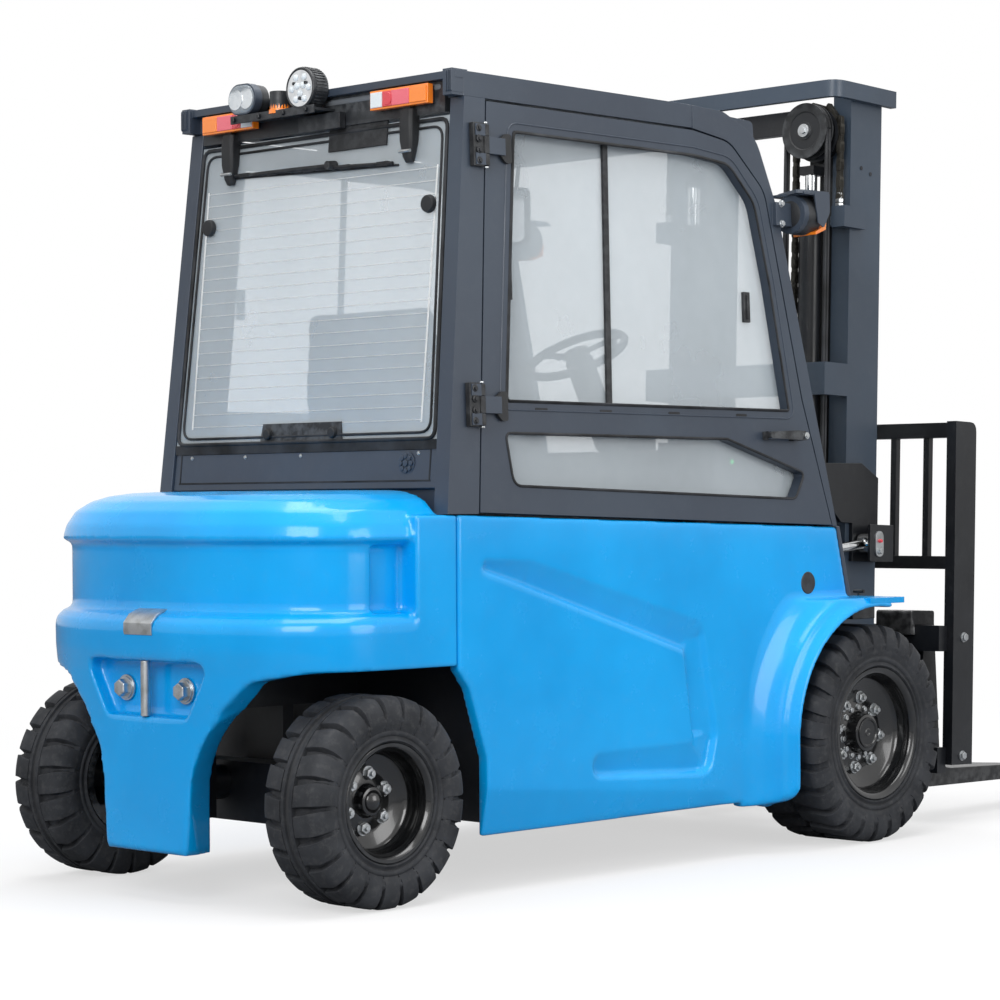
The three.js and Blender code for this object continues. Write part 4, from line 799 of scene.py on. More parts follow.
@dataclass
class Workshop:
    """Turns forms and CAD nodes into finished pieces that ride on the frame's bodies.

    Args:
        spaces: where pieces are drawn.
    """

    spaces: Spaces
    materials: dict[str, bpy.types.Material] = field(default_factory=dict)
    trees: dict[str, bpy.types.NodeTree] = field(default_factory=dict)
    made: list[str] = field(default_factory=list)

    def material(self, finish: Finish) -> bpy.types.Material:
        """The finish's material, made once.

        Args:
            finish: the finish it is dressed in.

        Returns:
            The material.
        """
        if finish.name not in self.materials:
            self.materials[finish.name] = finish.build()
        return self.materials[finish.name]

    def mesh(self, name: str, form: Form, space: Matrix) -> bpy.types.Object:
        """A form as an object at the origin, with its doubles merged and its faces turned outwards.

        Args:
            name: name of the piece.
            form: its shape.
            space: the frame it is drawn in.

        Returns:
            The object.
        """
        data = bpy.data.meshes.new(name)
        data.from_pydata([space @ p for p in form.points], [], form.faces)
        work = bmesh.new()
        work.from_mesh(data)
        bmesh.ops.remove_doubles(work, verts=work.verts, dist=MERGE_M)
        bmesh.ops.recalc_face_normals(work, faces=work.faces)
        work.to_mesh(data)
        work.free()
        made = bpy.data.objects.new(name, data)
        bpy.context.scene.collection.objects.link(made)
        return made

    def applied(self, obj: bpy.types.Object) -> bpy.types.Object:
        """The object with its modifiers worked into its mesh.

        Args:
            obj: the object.

        Returns:
            The same object.
        """
        graph = bpy.context.evaluated_depsgraph_get()
        fresh = bpy.data.meshes.new_from_object(obj.evaluated_get(graph), depsgraph=graph)
        obj.modifiers.clear()
        obj.data = fresh
        return obj

    def carve(self, obj: bpy.types.Object, cutters: Sequence[Form], space: Matrix) -> bpy.types.Object:
        """The object with forms cut out of it.

        Args:
            obj: the object.
            cutters: the forms to take away.
            space: the frame it is drawn in.

        Returns:
            The same object.
        """
        tools = [self.mesh(f"{obj.name}_cut", cutter, space) for cutter in cutters]
        for tool in tools:
            cut = obj.modifiers.new("Cut", "BOOLEAN")
            cut.operation, cut.solver, cut.object, cut.use_self = "DIFFERENCE", "EXACT", tool, True
        self.applied(obj)
        for tool in tools:
            bpy.data.objects.remove(tool)
        return obj

    def cast(self, obj: bpy.types.Object, voxel: float, passes: int) -> bpy.types.Object:
        """The object as one skin of even small faces with its edges rounded off.

        Args:
            obj: the object.
            voxel: size of its small faces, in millimetres.
            passes: how often its points are evened out.

        Returns:
            The same object.
        """
        skin = obj.modifiers.new("Skin", "REMESH")
        skin.mode, skin.voxel_size, skin.use_smooth_shade = "VOXEL", voxel * MM, True
        self.applied(obj)
        return self.soften(obj, passes)

    def soften(self, obj: bpy.types.Object, passes: int) -> bpy.types.Object:
        """The object with its points evened out a little.

        Args:
            obj: the object.
            passes: how often its points are evened out.

        Returns:
            The same object.
        """
        even = obj.modifiers.new("Soften", "SMOOTH")
        even.factor, even.iterations = 0.5, passes
        return self.applied(obj)

    def dress(self, obj: bpy.types.Object, finish: Finish, body: str, bevel: float = 0.0,
              smooth: float = 35.0, replaces: Sequence[str] = (), rings: int = 2) -> bpy.types.Object:
        """Gives an object its finish, soft edges and body.

        Args:
            obj: the object, at the origin.
            finish: its material's recipe.
            body: the CAD body that it rides on.
            bevel: width of the rounding of its edges, in millimetres.
            smooth: edges flatter than this many degrees are shaded smooth.
            replaces: CAD nodes that it stands for.
            rings: segments of each rounded edge.

        Returns:
            The object.
        """
        obj.data.materials.clear()
        obj.data.materials.append(self.material(finish))
        obj.data.shade_smooth()
        obj.data.set_sharp_from_angle(angle=math.radians(smooth))
        if bevel:
            edge = obj.modifiers.new("Edges", "BEVEL")
            edge.width, edge.segments, edge.limit_method = bevel * MM, rings, "ANGLE"
            edge.angle_limit, edge.use_clamp_overlap = math.radians(smooth), True
            edge.harden_normals = False
            even = obj.modifiers.new("Even", "WEIGHTED_NORMAL")
            even.keep_sharp = False
        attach(obj, body)
        if replaces:
            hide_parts(*replaces)
        self.made.append(obj.name)
        LOG.info("%s rides on %s in %s", obj.name, body, finish.name)
        return obj

    def piece(self, name: str, form: Form, space: Matrix, finish: Finish, body: str, bevel: float = 0.0,
              smooth: float = 35.0, replaces: Sequence[str] = (), rings: int = 2) -> bpy.types.Object:
        """Publishes a form as a finished piece; the arguments are those of mesh() and dress()."""
        return self.dress(self.mesh(name, form, space), finish, body, bevel, smooth, replaces, rings)

    def refined(self, node: str, finish: Finish, body: str, bevel: float = 3.0,
                smooth: float = 32.0) -> bpy.types.Object:
        """A copy of a CAD node with merged faces and rounded edges, which stands for it.

        Args:
            node: name of the CAD node.
            finish: the finish it is dressed in.
            body: the body it rides on.
            bevel: width of its rounded edges, in millimetres.
            smooth: largest angle that is shaded smooth, in degrees.

        Returns:
            The copy.
        """
        source = FRAME_NODES[node]
        data = source.data.copy()
        data.name = f"{node}_skin"
        work = bmesh.new()
        work.from_mesh(data)
        bmesh.ops.remove_doubles(work, verts=work.verts, dist=MERGE_M * 2)
        bmesh.ops.dissolve_limit(work, angle_limit=math.radians(1.5), verts=work.verts, edges=work.edges)
        work.to_mesh(data)
        work.free()
        made = bpy.data.objects.new(f"{node}_skin", data)
        bpy.context.scene.collection.objects.link(made)
        return self.dress(made, finish, body, bevel, smooth, (node,))

    def tree(self, key: str, build: Callable[["TreeMaker"], None],
             inputs: dict[str, str]) -> bpy.types.NodeTree:
        """A geometry node tree, built once.

        Args:
            key: its name.
            build: wires it, given its maker.
            inputs: each named input and its socket kind.

        Returns:
            The tree.
        """
        if key not in self.trees:
            maker = TreeMaker(key, inputs)
            build(maker)
            self.trees[key] = maker.tree
        return self.trees[key]

    def spread(self, name: str, base: bpy.types.Object, tree: bpy.types.NodeTree, values: dict[str, object],
               space: Matrix | None = None) -> bpy.types.Object:
        """Runs a tree on an object and returns its plain mesh, placed by a matrix.

        Args:
            name: name of the piece.
            base: geometry that the tree starts from.
            tree: key of the tree.
            values: values of its named inputs.
            space: the frame it is drawn in.

        Returns:
            The plain object.
        """
        work = base.modifiers.new("Spread", "NODES")
        work.node_group = tree
        for item in tree.interface.items_tree:
            if item.item_type == "SOCKET" and item.in_out == "INPUT" and item.name in values:
                work[item.identifier] = values[item.name]
        graph = bpy.context.evaluated_depsgraph_get()
        data = bpy.data.meshes.new_from_object(base.evaluated_get(graph), depsgraph=graph)
        bpy.data.objects.remove(base)
        if space is not None:
            data.transform(space)
            if space.determinant() < 0:
                data.flip_normals()
        made = bpy.data.objects.new(name, data)
        bpy.context.scene.collection.objects.link(made)
        return made

    def ring(self, name: str, part: Form, count: int, space: Matrix, finish: Finish, body: str,
             start: float = 0.0, bevel: float = 0.0, smooth: float = 35.0) -> bpy.types.Object:
        """Copies of a part turned round the Y axis of its space in equal steps.

        Args:
            name: name of the piece.
            part: the shape that is repeated.
            count: how many there are.
            space: the frame it is drawn in.
            finish: the finish it is dressed in.
            body: the body it rides on.
            start: angle of the first, in degrees.
            bevel: width of its rounded edges, in millimetres.
            smooth: largest angle that is shaded smooth, in degrees.

        Returns:
            The plain object.
        """
        stamp = self.mesh(f"{name}_stamp", part, Matrix.Identity(4))
        base = self.mesh(f"{name}_base", Form(), Matrix.Identity(4))
        tree = self.tree("parts in a ring", wire_ring,
                         {"Part": "NodeSocketObject", "Count": "NodeSocketInt", "Start": "NodeSocketFloat",
                          "Finish": "NodeSocketMaterial"})
        made = self.spread(name, base, tree, {"Part": stamp, "Count": count, "Start": math.radians(start),
                                              "Finish": self.material(finish)}, space)
        bpy.data.objects.remove(stamp)
        return self.dress(made, finish, body, bevel, smooth)

    def row(self, name: str, part: Form, count: int, step: Point, space: Matrix, finish: Finish,
            body: str, bevel: float = 0.0) -> bpy.types.Object:
        """Copies of a part in a straight row with equal steps.

        Args:
            name: name of the piece.
            part: the shape that is repeated.
            count: how many there are.
            step: the move from each to the next.
            space: the frame it is drawn in.
            finish: the finish it is dressed in.
            body: the body it rides on.
            bevel: width of its rounded edges, in millimetres.

        Returns:
            The plain object.
        """
        stamp = self.mesh(f"{name}_stamp", part, Matrix.Identity(4))
        base = self.mesh(f"{name}_base", Form(), Matrix.Identity(4))
        tree = self.tree("parts in a row", wire_row,
                         {"Part": "NodeSocketObject", "Count": "NodeSocketInt", "Step": "NodeSocketVector",
                          "Finish": "NodeSocketMaterial"})
        made = self.spread(name, base, tree, {"Part": stamp, "Count": count, "Step": step,
                                              "Finish": self.material(finish)}, space)
        bpy.data.objects.remove(stamp)
        return self.dress(made, finish, body, bevel)

    def fasteners(self, name: str, spots: Sequence[tuple[Point, Point, float]], part: Form, space: Matrix,
                  finish: Finish, body: str) -> bpy.types.Object:
        """Copies of a part drawn along Y at given places.

        Args:
            name: the piece's name.
            spots: for each copy its place, the way it faces, and its size.
            part: the part, with its foot at the origin and its head towards +Y.
            space: the space of the places.
            finish: the part's finish.
            body: the CAD body that they ride on.

        Returns:
            The piece.
        """
        stamp = self.mesh(f"{name}_stamp", part, Matrix.Identity(4))
        data = bpy.data.meshes.new(name)
        data.from_pydata([s[0] for s in spots], [], [])
        facing = data.attributes.new("facing", "FLOAT_VECTOR", "POINT")
        facing.data.foreach_set("vector", [c for s in spots for c in s[1]])
        data.attributes.new("size", "FLOAT", "POINT").data.foreach_set("value", [s[2] for s in spots])
        base = bpy.data.objects.new(f"{name}_base", data)
        bpy.context.scene.collection.objects.link(base)
        tree = self.tree("parts on points", wire_points,
                         {"Part": "NodeSocketObject", "Finish": "NodeSocketMaterial"})
        made = self.spread(name, base, tree, {"Part": stamp, "Finish": self.material(finish)}, space)
        bpy.data.objects.remove(stamp)
        return self.dress(made, finish, body)

    def links(self, name: str, part: Form, path: Sequence[Point], pitch: float, space: Matrix,
              finish: Finish) -> bpy.types.Object:
        """Copies of a part along a path, a pitch apart; the part's X axis runs along the path.

        Args:
            name: name of the piece.
            part: one link.
            path: points that the links follow.
            pitch: distance between two, in millimetres.
            space: the frame it is drawn in.
            finish: the finish it is dressed in.

        Returns:
            The plain object.
        """
        stamp = self.mesh(f"{name}_stamp", part, Matrix.Identity(4))
        data = bpy.data.meshes.new(name)
        data.from_pydata([tuple(p) for p in path], [(i, i + 1) for i in range(len(path) - 1)], [])
        base = bpy.data.objects.new(f"{name}_base", data)
        bpy.context.scene.collection.objects.link(base)
        tree = self.tree("links on a path", wire_links,
                         {"Part": "NodeSocketObject", "Pitch": "NodeSocketFloat",
                          "Finish": "NodeSocketMaterial"})
        made = self.spread(name, base, tree, {"Part": stamp, "Pitch": pitch,
                                              "Finish": self.material(finish)}, space)
        bpy.data.objects.remove(stamp)
        made.data.shade_smooth()
        made.data.set_sharp_from_angle(angle=math.radians(35))
        return made

    def strung(self, obj: bpy.types.Object, finish: Finish, bodies: tuple[str, ...], start: Vector,
               end: Vector) -> bpy.types.Object:
        """Gives a stretch of chain or hose its finish, riding on one body, or with its placement baked in
        and no body when it goes with two.

        Args:
            obj: the object.
            finish: the finish it is dressed in.
            bodies: the body, or the two bodies, it goes with.
            start: not used.
            end: not used.

        Returns:
            The same object.
        """
        obj.data.materials.clear()
        obj.data.materials.append(self.material(finish))
        if len(bodies) == 1:
            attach(obj, bodies[0])
        else:
            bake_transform(obj)
        self.made.append(obj.name)
        LOG.info("%s goes with %s in %s", obj.name, " and ".join(bodies), finish.name)
        return obj


FRAME_NODES: dict[str, bpy.types.Object] = {}


class TreeMaker:
    """A geometry node tree being wired, with named inputs."""

    def __init__(self, name: str, inputs: dict[str, str]) -> None:
        """Sets up what it works on."""
        self.tree = bpy.data.node_groups.new(name, "GeometryNodeTree")
        self.tree.interface.new_socket("Geometry", in_out="INPUT", socket_type="NodeSocketGeometry")
        for key, kind in inputs.items():
            self.tree.interface.new_socket(key, in_out="INPUT", socket_type=kind)
        self.tree.interface.new_socket("Geometry", in_out="OUTPUT", socket_type="NodeSocketGeometry")
        self.inlet = self.tree.nodes.new("NodeGroupInput").outputs
        self.outlet = self.tree.nodes.new("NodeGroupOutput").inputs

    def node(self, kind: str, settings: dict | None = None, **inputs: object) -> bpy.types.Node:
        """Adds a node, sets its properties, and sets or links its inputs by name or number.

        Args:
            kind: the node type.
            settings: properties set on the node.
            inputs: named inputs.

        Returns:
            The node.
        """
        made = self.tree.nodes.new(kind)
        for key, value in (settings or {}).items():
            setattr(made, key, value)
        for key, value in inputs.items():
            socket = made.inputs[int(key[1:])] if key[0] == "_" and key[1:].isdigit() else made.inputs[key]
            if isinstance(value, bpy.types.NodeSocket):
                self.tree.links.new(value, socket)
            else:
                socket.default_value = value
        return made

    def part(self) -> bpy.types.NodeSocket:
        """The geometry of the object given as Part."""
        return self.node("GeometryNodeObjectInfo", Object=self.inlet["Part"]).outputs["Geometry"]

    def end(self, instances: bpy.types.NodeSocket) -> None:
        """Makes instances real, gives them the finish and sends them out.

        Args:
            instances: the instances to make real.
        """
        real = self.node("GeometryNodeRealizeInstances", Geometry=instances).outputs[0]
        done = self.node("GeometryNodeSetMaterial", Geometry=real, Material=self.inlet["Finish"]).outputs[0]
        self.tree.links.new(done, self.outlet[0])


def wire_ring(m: TreeMaker) -> None:
    """Instances turned in equal steps round Y.

    Args:
        m: the maker of the tree.
    """
    points = m.node("GeometryNodePoints", Count=m.inlet["Count"]).outputs[0]
    index = m.node("GeometryNodeInputIndex").outputs[0]
    share = m.node("ShaderNodeMath", {"operation": "DIVIDE"}, _0=index, _1=m.inlet["Count"]).outputs[0]
    turn = m.node("ShaderNodeMath", {"operation": "MULTIPLY_ADD"}, _0=share, _1=math.tau,
                  _2=m.inlet["Start"]).outputs[0]
    spin = m.node("ShaderNodeCombineXYZ", Y=turn).outputs[0]
    m.end(m.node("GeometryNodeInstanceOnPoints", Points=points, Instance=m.part(), Rotation=spin).outputs[0])


def wire_row(m: TreeMaker) -> None:
    """Instances in equal steps from the origin.

    Args:
        m: the maker of the tree.
    """
    index = m.node("GeometryNodeInputIndex").outputs[0]
    points = m.node("GeometryNodePoints", Count=m.inlet["Count"]).outputs[0]
    spot = m.node("ShaderNodeVectorMath", {"operation": "SCALE"}, _0=m.inlet["Step"], Scale=index).outputs[0]
    placed = m.node("GeometryNodeSetPosition", Geometry=points, Offset=spot).outputs[0]
    m.end(m.node("GeometryNodeInstanceOnPoints", Points=placed, Instance=m.part()).outputs[0])


def wire_points(m: TreeMaker) -> None:
    """Instances on points, facing and sized by the points' own attributes.

    Args:
        m: the maker of the tree.
    """
    facing = m.node("GeometryNodeInputNamedAttribute", {"data_type": "FLOAT_VECTOR"},
                    Name="facing").outputs[0]
    size = m.node("GeometryNodeInputNamedAttribute", {"data_type": "FLOAT"}, Name="size").outputs[0]
    turn = m.node("FunctionNodeAlignRotationToVector", {"axis": "Y"}, Vector=facing).outputs[0]
    m.end(m.node("GeometryNodeInstanceOnPoints", Points=m.inlet["Geometry"], Instance=m.part(),
                 Rotation=turn, Scale=size).outputs[0])


def wire_links(m: TreeMaker) -> None:
    """Instances a pitch apart along the edges of the geometry.

    Args:
        m: the maker of the tree.
    """
    line = m.node("GeometryNodeMeshToCurve", Mesh=m.inlet["Geometry"]).outputs[0]
    spots = m.node("GeometryNodeCurveToPoints", {"mode": "LENGTH"}, Curve=line, Length=m.inlet["Pitch"])
    turn = m.node("FunctionNodeAlignRotationToVector", {"axis": "X", "pivot_axis": "Z"},
                  Vector=spots.outputs["Tangent"]).outputs[0]
    m.end(m.node("GeometryNodeInstanceOnPoints", Points=spots.outputs["Points"], Instance=m.part(),
                 Rotation=turn).outputs[0])


# ---------------------------------------------------------------------------------------------- wheels


class Tread(Enum):
    """How a tyre's lugs lie."""

    CHUNKY = "wide staggered lugs"
    RIBBED = "narrow blocks beside a centre rib"


@dataclass
class Wheel:
    """One wheel: a solid tyre with its lugs, a dished rim, nuts, hub bolts and a cap.

    Args:
        label: front or rear, as in the CAD nodes' names.
        side: the side of the truck.
        axle_x: where its axle is, from the drive axle.
    """

    shop: Workshop
    label: str
    side: Side
    axle_x: float
    radius: float
    width: float
    outer_face: float
    bead: float
    flange: float
    well: float
    disc_depth: float
    hub_radius: float
    hub_height: float
    lugs: int
    nuts: int
    nut_circle: float
    bolts: int
    bolt_circle: float
    tread: Tread
    lug_depth: float = 17.0

    @property
    def space(self) -> Matrix:
        """The wheel's own space: Y runs inwards from the tyre's outer face."""
        spot = Matrix.Translation((self.axle_x, -self.outer_face, self.radius))
        return self.shop.spaces.side(self.side) @ spot

    @property
    def body(self) -> str:
        """The CAD body that the wheel is."""
        return f"{self.label}_wheel_{self.side.name}"

    def carcass(self) -> Form:
        """The tyre under its lugs, with raised rings on its sidewalls.

        Returns:
            The shape.
        """
        r, deep = self.radius, self.lug_depth
        f = self.flange
        half = [(self.bead, 24.4), (f + 0.4, 24.4), (f + 0.4, 15), (f + 5, 9), (f + 10, 10.5), (f + 13, 14),
                (f + 17, 14), (f + 20, 8.5), (f + 27, 7), (f + 31, 8), (f + 33, 10.5), (f + 37, 10.5),
                (f + 40, 7), (r - 82, 5.5), (r - 74, 4.5), (r - 70, 2.0), (r - 64, 2.0), (r - 58, 7),
                (r - 40, 10), (r - 26, 20), (r - deep - 3, 40), (r - deep, 60)]
        half = [p for i, p in enumerate(half) if i < 3 or p[0] > f]
        half = [p for i, p in enumerate(half) if i < 1 or p[0] >= half[i - 1][0] or i < 4]
        middle = []
        if self.tread is Tread.RIBBED:
            a, b = self.width * 0.40, self.width * 0.455
            middle = [(r - deep, a - 2), (r - 1, a), (r - 1, b), (r - deep + 6, b + 2)]
        profile = half + middle
        profile += [(radius, self.width - s) for radius, s in reversed(profile)]
        return Form().lathe(profile, 96, loop=True)

    def lug(self, inner: bool) -> Form:
        """One lug of the outer or inner row, drawn at the top of the tyre.

        Args:
            inner: whether it belongs to the inner row.

        Returns:
            The shape.
        """
        r, w = self.radius, self.width
        reach = w * (0.47 if self.tread is Tread.CHUNKY else 0.385)
        pitch = math.tau / self.lugs
        half = pitch * (0.33 if self.tread is Tread.CHUNKY else 0.40)
        skew = pitch * (0.30 if self.tread is Tread.CHUNKY else -0.16)
        path = [(r - 78, 3.5), (r - 66, 0.6), (r - 44, 1.0), (r - 26, 5.5), (r - 12, 14), (r - 3, 25),
                (r - 0.4, 38), (r, reach * 0.7), (r, reach)]
        rings = []
        steps = 6
        for k in range(steps + 1):
            share = -1 + 2 * k / steps
            row = []
            for depth in (0, 1):
                spots = path if depth == 0 else list(reversed(path))
                for radius, s in spots:
                    shrink = (0.86 if depth == 0 else 1.12) + 0.16 * (1 - min(1.0, s / (w * 0.3)))
                    angle = share * half * shrink + skew * (s / reach - 0.5)
                    level = radius - (self.lug_depth + 9) * depth
                    across = s + (9 if depth and s < 20 else 0)
                    if inner:
                        across = w - across
                        angle = angle + pitch / 2
                    row.append((level * math.sin(angle), across, level * math.cos(angle)))
            rings.append(row)
        return Form().loft(rings)

    def rim(self) -> Form:
        """The dished rim with a stepped bead seat and its hub boss.

        Returns:
            The shape.
        """
        f, wl, w, d = self.flange, self.well, self.width, self.disc_depth
        profile = [(wl, 30), (wl + 2, 22), (wl + 8, 15.5), (f - 12, 12.5), (f - 3, 12), (f, 15), (f, 21),
                   (f - 2, 24), (self.bead - 0.4, 24), (self.bead - 0.4, w - 24), (f, w - 24), (f, w - 12),
                   (wl, w - 12), (wl, d + 16), (0, d + 16), (0, d - self.hub_height),
                   (self.hub_radius - 9, d - self.hub_height),
                   (self.hub_radius - 3, d - self.hub_height + 2),
                   (self.hub_radius, d - self.hub_height + 8), (self.hub_radius + 1, d - 8),
                   (self.hub_radius + 6, d - 2), (self.bolt_circle + 14, d - 1),
                   (self.bolt_circle + 22, d + 3), (self.nut_circle + 20, d + 3),
                   (self.nut_circle + 32, d - 4), (wl - 16, d - 9), (wl - 6, d - 16), (wl - 1, d - 30),
                   (wl, 48), (wl - 3, 44), (wl - 3, 37), (wl, 33)]
        return Form().lathe(profile, 72, loop=True)

    def nut(self) -> Form:
        """A wheel nut on its stud, with a washer, at the top of its circle.

        Returns:
            The shape.
        """
        d, c = self.disc_depth, self.nut_circle
        form = Form().hexagon((0, d + 3, c), (0, -1, 0), 30, 17)
        return form.rod((0, d + 2, c), (0, d - 22, c), 8.5, 14, 0.9)

    def bolt(self) -> Form:
        """A hub bolt at the top of its circle."""
        d, c = self.disc_depth, self.bolt_circle
        return Form().hexagon((0, d + 0.5, c), (0, -1, 0), 16, 9)

    def cap(self) -> Form:
        """The hub cap, flat and grooved on the drive wheels and domed on the steered ones.

        Returns:
            The shape.
        """
        d, r = self.disc_depth - self.hub_height, self.hub_radius
        if self.tread is Tread.CHUNKY:
            profile = [(0, d - 1), (6, d - 1), (8, d - 3), (12, d - 3), (14, d - 1), (r - 22, d - 1),
                       (r - 20, d - 5), (r - 13, d - 5), (r - 11, d + 1), (0, d + 1)]
        else:
            profile = [(0, d - 16), (10, d - 15), (20, d - 12), (r - 14, d - 6), (r - 10, d + 1), (0, d + 1)]
        return Form().lathe(profile, 48)

    def build(self) -> None:
        """Makes and dresses every piece of the wheel."""
        tag = f"{self.label}_{self.side.name}"
        shop, space, body = self.shop, self.space, self.body
        shop.piece(f"{tag}_tyre_carcass", self.carcass(), space, TYRE, body, smooth=50,
                   replaces=(f"{self.label}_tyre_{self.side.name}",))
        for inner in (False, True):
            row = "inner" if inner else "outer"
            shop.ring(f"{tag}_{row}_lugs", self.lug(inner), self.lugs, space, TYRE, body, bevel=1.6)
        shop.piece(f"{tag}_rim_dish", self.rim(), space, RIM_BLACK, body, smooth=40,
                   replaces=(f"{self.label}_rim_{self.side.name}",))
        shop.ring(f"{tag}_wheel_nuts", self.nut(), self.nuts, space, ZINC, body, start=8, bevel=0.6)
        if self.bolts:
            shop.ring(f"{tag}_hub_bolts", self.bolt(), self.bolts, space, ZINC, body, bevel=0.4)
        shop.piece(f"{tag}_hub_cap", self.cap(), space, RIM_BLACK, body, bevel=1.0)


def wheels(shop: Workshop) -> list[Wheel]:
    """The four wheels.

    Args:
        shop: where pieces are made and published.

    Returns:
        One wheel for each corner.
    """
    made = []
    for side in Side:
        made.append(Wheel(shop, "front", side, 0, 353, 300, 740, 200, 216, 190, 95, 62, 42, 26, 8, 113.5, 14,
                          81, Tread.CHUNKY))
        made.append(Wheel(shop, "rear", side, -2120, 292, 227, 676, 152, 166, 143, 112, 42, 30, 22, 6, 75, 0,
                          56, Tread.RIBBED, 14.0))
    return made


# ---------------------------------------------------------------------------------------------- studio


@dataclass
class Studio:
    """Camera, soft lamps, pale floor and backdrop."""

    spot_mm: Point = (-7395.0, -6212.9, 1104.7)
    yaw: float = 44.192
    pitch: float = 0.081
    roll: float = -0.337
    focal_px: float = 2811.3
    frame_px: float = 1000.0

    def camera(self, spaces: Spaces) -> None:
        """Places the camera.

        Args:
            spaces: the frames that pieces are drawn in.
        """
        data = bpy.data.cameras.new("Camera")
        data.sensor_width = 36.0
        data.lens = self.focal_px / self.frame_px * data.sensor_width
        data.clip_start, data.clip_end = 0.1, 200.0
        made = bpy.data.objects.new("Camera", data)
        bpy.context.scene.collection.objects.link(made)
        yaw, pitch, roll = (math.radians(a) for a in (self.yaw, self.pitch, self.roll))
        ahead = Vector((math.cos(pitch) * math.cos(yaw), math.cos(pitch) * math.sin(yaw), math.sin(pitch)))
        right = ahead.cross(Vector((0, 0, 1))).normalized()
        up = right.cross(ahead)
        x_axis = right * math.cos(roll) + up * math.sin(roll)
        y_axis = -right * math.sin(roll) + up * math.cos(roll)
        turn = Matrix((x_axis, y_axis, -ahead)).transposed().to_4x4()
        made.matrix_world = Matrix.Translation(spaces.truck @ Vector(self.spot_mm)) @ turn
        bpy.context.scene.camera = made

    def lamp(self, name: str, spot: Point, aim: Point, size: float, power: float,
             colour: tuple[float, float, float] = (1, 1, 1)) -> None:
        """Adds a square softbox that faces a point.

        Args:
            name: name of the piece.
            spot: the middle of its foot.
            aim: the point that it faces.
            size: its edge, in metres.
            power: its power, in watts.
            colour: its colour.
        """
        data = bpy.data.lights.new(name, "AREA")
        data.shape, data.size, data.energy, data.color = "SQUARE", size, power, colour
        made = bpy.data.objects.new(name, data)
        bpy.context.scene.collection.objects.link(made)
        made.location = spot
        made.rotation_mode = "QUATERNION"
        made.rotation_quaternion = (Vector(aim) - Vector(spot)).to_track_quat("-Z", "Y")

    def world(self) -> None:
        """A white surround for the camera and for gloss, and a softer one for the light it gives."""
        made = bpy.data.worlds.new("Surround")
        made.use_nodes = True
        tree = made.node_tree
        back = tree.nodes["Background"]
        path = tree.nodes.new("ShaderNodeLightPath")
        seen = tree.nodes.new("ShaderNodeMath")
        seen.operation = "MAXIMUM"
        tree.links.new(path.outputs["Is Camera Ray"], seen.inputs[0])
        tree.links.new(path.outputs["Is Transmission Ray"], seen.inputs[1])
        gloss = tree.nodes.new("ShaderNodeMath")
        gloss.operation = "MULTIPLY"
        tree.links.new(path.outputs["Is Glossy Ray"], gloss.inputs[0])
        gloss.inputs[1].default_value = 0.75
        both = tree.nodes.new("ShaderNodeMath")
        both.operation = "MAXIMUM"
        tree.links.new(seen.outputs[0], both.inputs[0])
        tree.links.new(gloss.outputs[0], both.inputs[1])
        level = tree.nodes.new("ShaderNodeMapRange")
        tree.links.new(both.outputs[0], level.inputs[0])
        level.inputs[3].default_value = 0.55
        level.inputs[4].default_value = 1.0
        back.inputs["Color"].default_value = (1, 1, 1, 1)
        tree.links.new(level.outputs[0], back.inputs["Strength"])
        bpy.context.scene.world = made

    def floor(self) -> None:
        """A pale floor that keeps the truck's shadow."""
        data = bpy.data.meshes.new("floor")
        half = 60.0
        data.from_pydata([(-half, -half, 0), (half, -half, 0), (half, half, 0), (-half, half, 0)], [],
                         [(0, 1, 2, 3)])
        made = bpy.data.objects.new("floor", data)
        bpy.context.scene.collection.objects.link(made)
        mat = bpy.data.materials.new("studio floor")
        mat.use_nodes = True
        tree = mat.node_tree
        shader = tree.nodes["Principled BSDF"]
        tone = tree.nodes.new("ShaderNodeMix")
        tone.data_type = "RGBA"
        tone.inputs[6].default_value, tone.inputs[7].default_value = (0.30, 0.31, 0.33, 1), (0.80, 0.80,
                                                                                             0.81, 1)
        tree.links.new(tone.outputs[2], shader.inputs["Base Color"])
        shader.inputs["Roughness"].default_value = 0.9
        shader.inputs["Specular IOR Level"].default_value = 0.1
        glow = tree.nodes.new("ShaderNodeEmission")
        path = tree.nodes.new("ShaderNodeLightPath")
        tree.links.new(path.outputs["Is Camera Ray"], tone.inputs[0])
        share = tree.nodes.new("ShaderNodeMath")
        share.operation = "MULTIPLY"
        tree.links.new(path.outputs["Is Camera Ray"], share.inputs[0])
        place = tree.nodes.new("ShaderNodeTexCoord")
        length = tree.nodes.new("ShaderNodeVectorMath")
        length.operation = "LENGTH"
        tree.links.new(place.outputs["Object"], length.inputs[0])
        far = tree.nodes.new("ShaderNodeMapRange")
        for number, value in ((1, 2.2), (2, 6.0), (3, 0.60), (4, 1.0)):
            far.inputs[number].default_value = value
        tree.links.new(length.outputs["Value"], far.inputs[0])
        tree.links.new(far.outputs[0], share.inputs[1])
        blend = tree.nodes.new("ShaderNodeMixShader")
        tree.links.new(share.outputs[0], blend.inputs[0])
        tree.links.new(shader.outputs[0], blend.inputs[1])
        tree.links.new(glow.outputs[0], blend.inputs[2])
        tree.links.new(blend.outputs[0], tree.nodes["Material Output"].inputs[0])
        data.materials.append(mat)

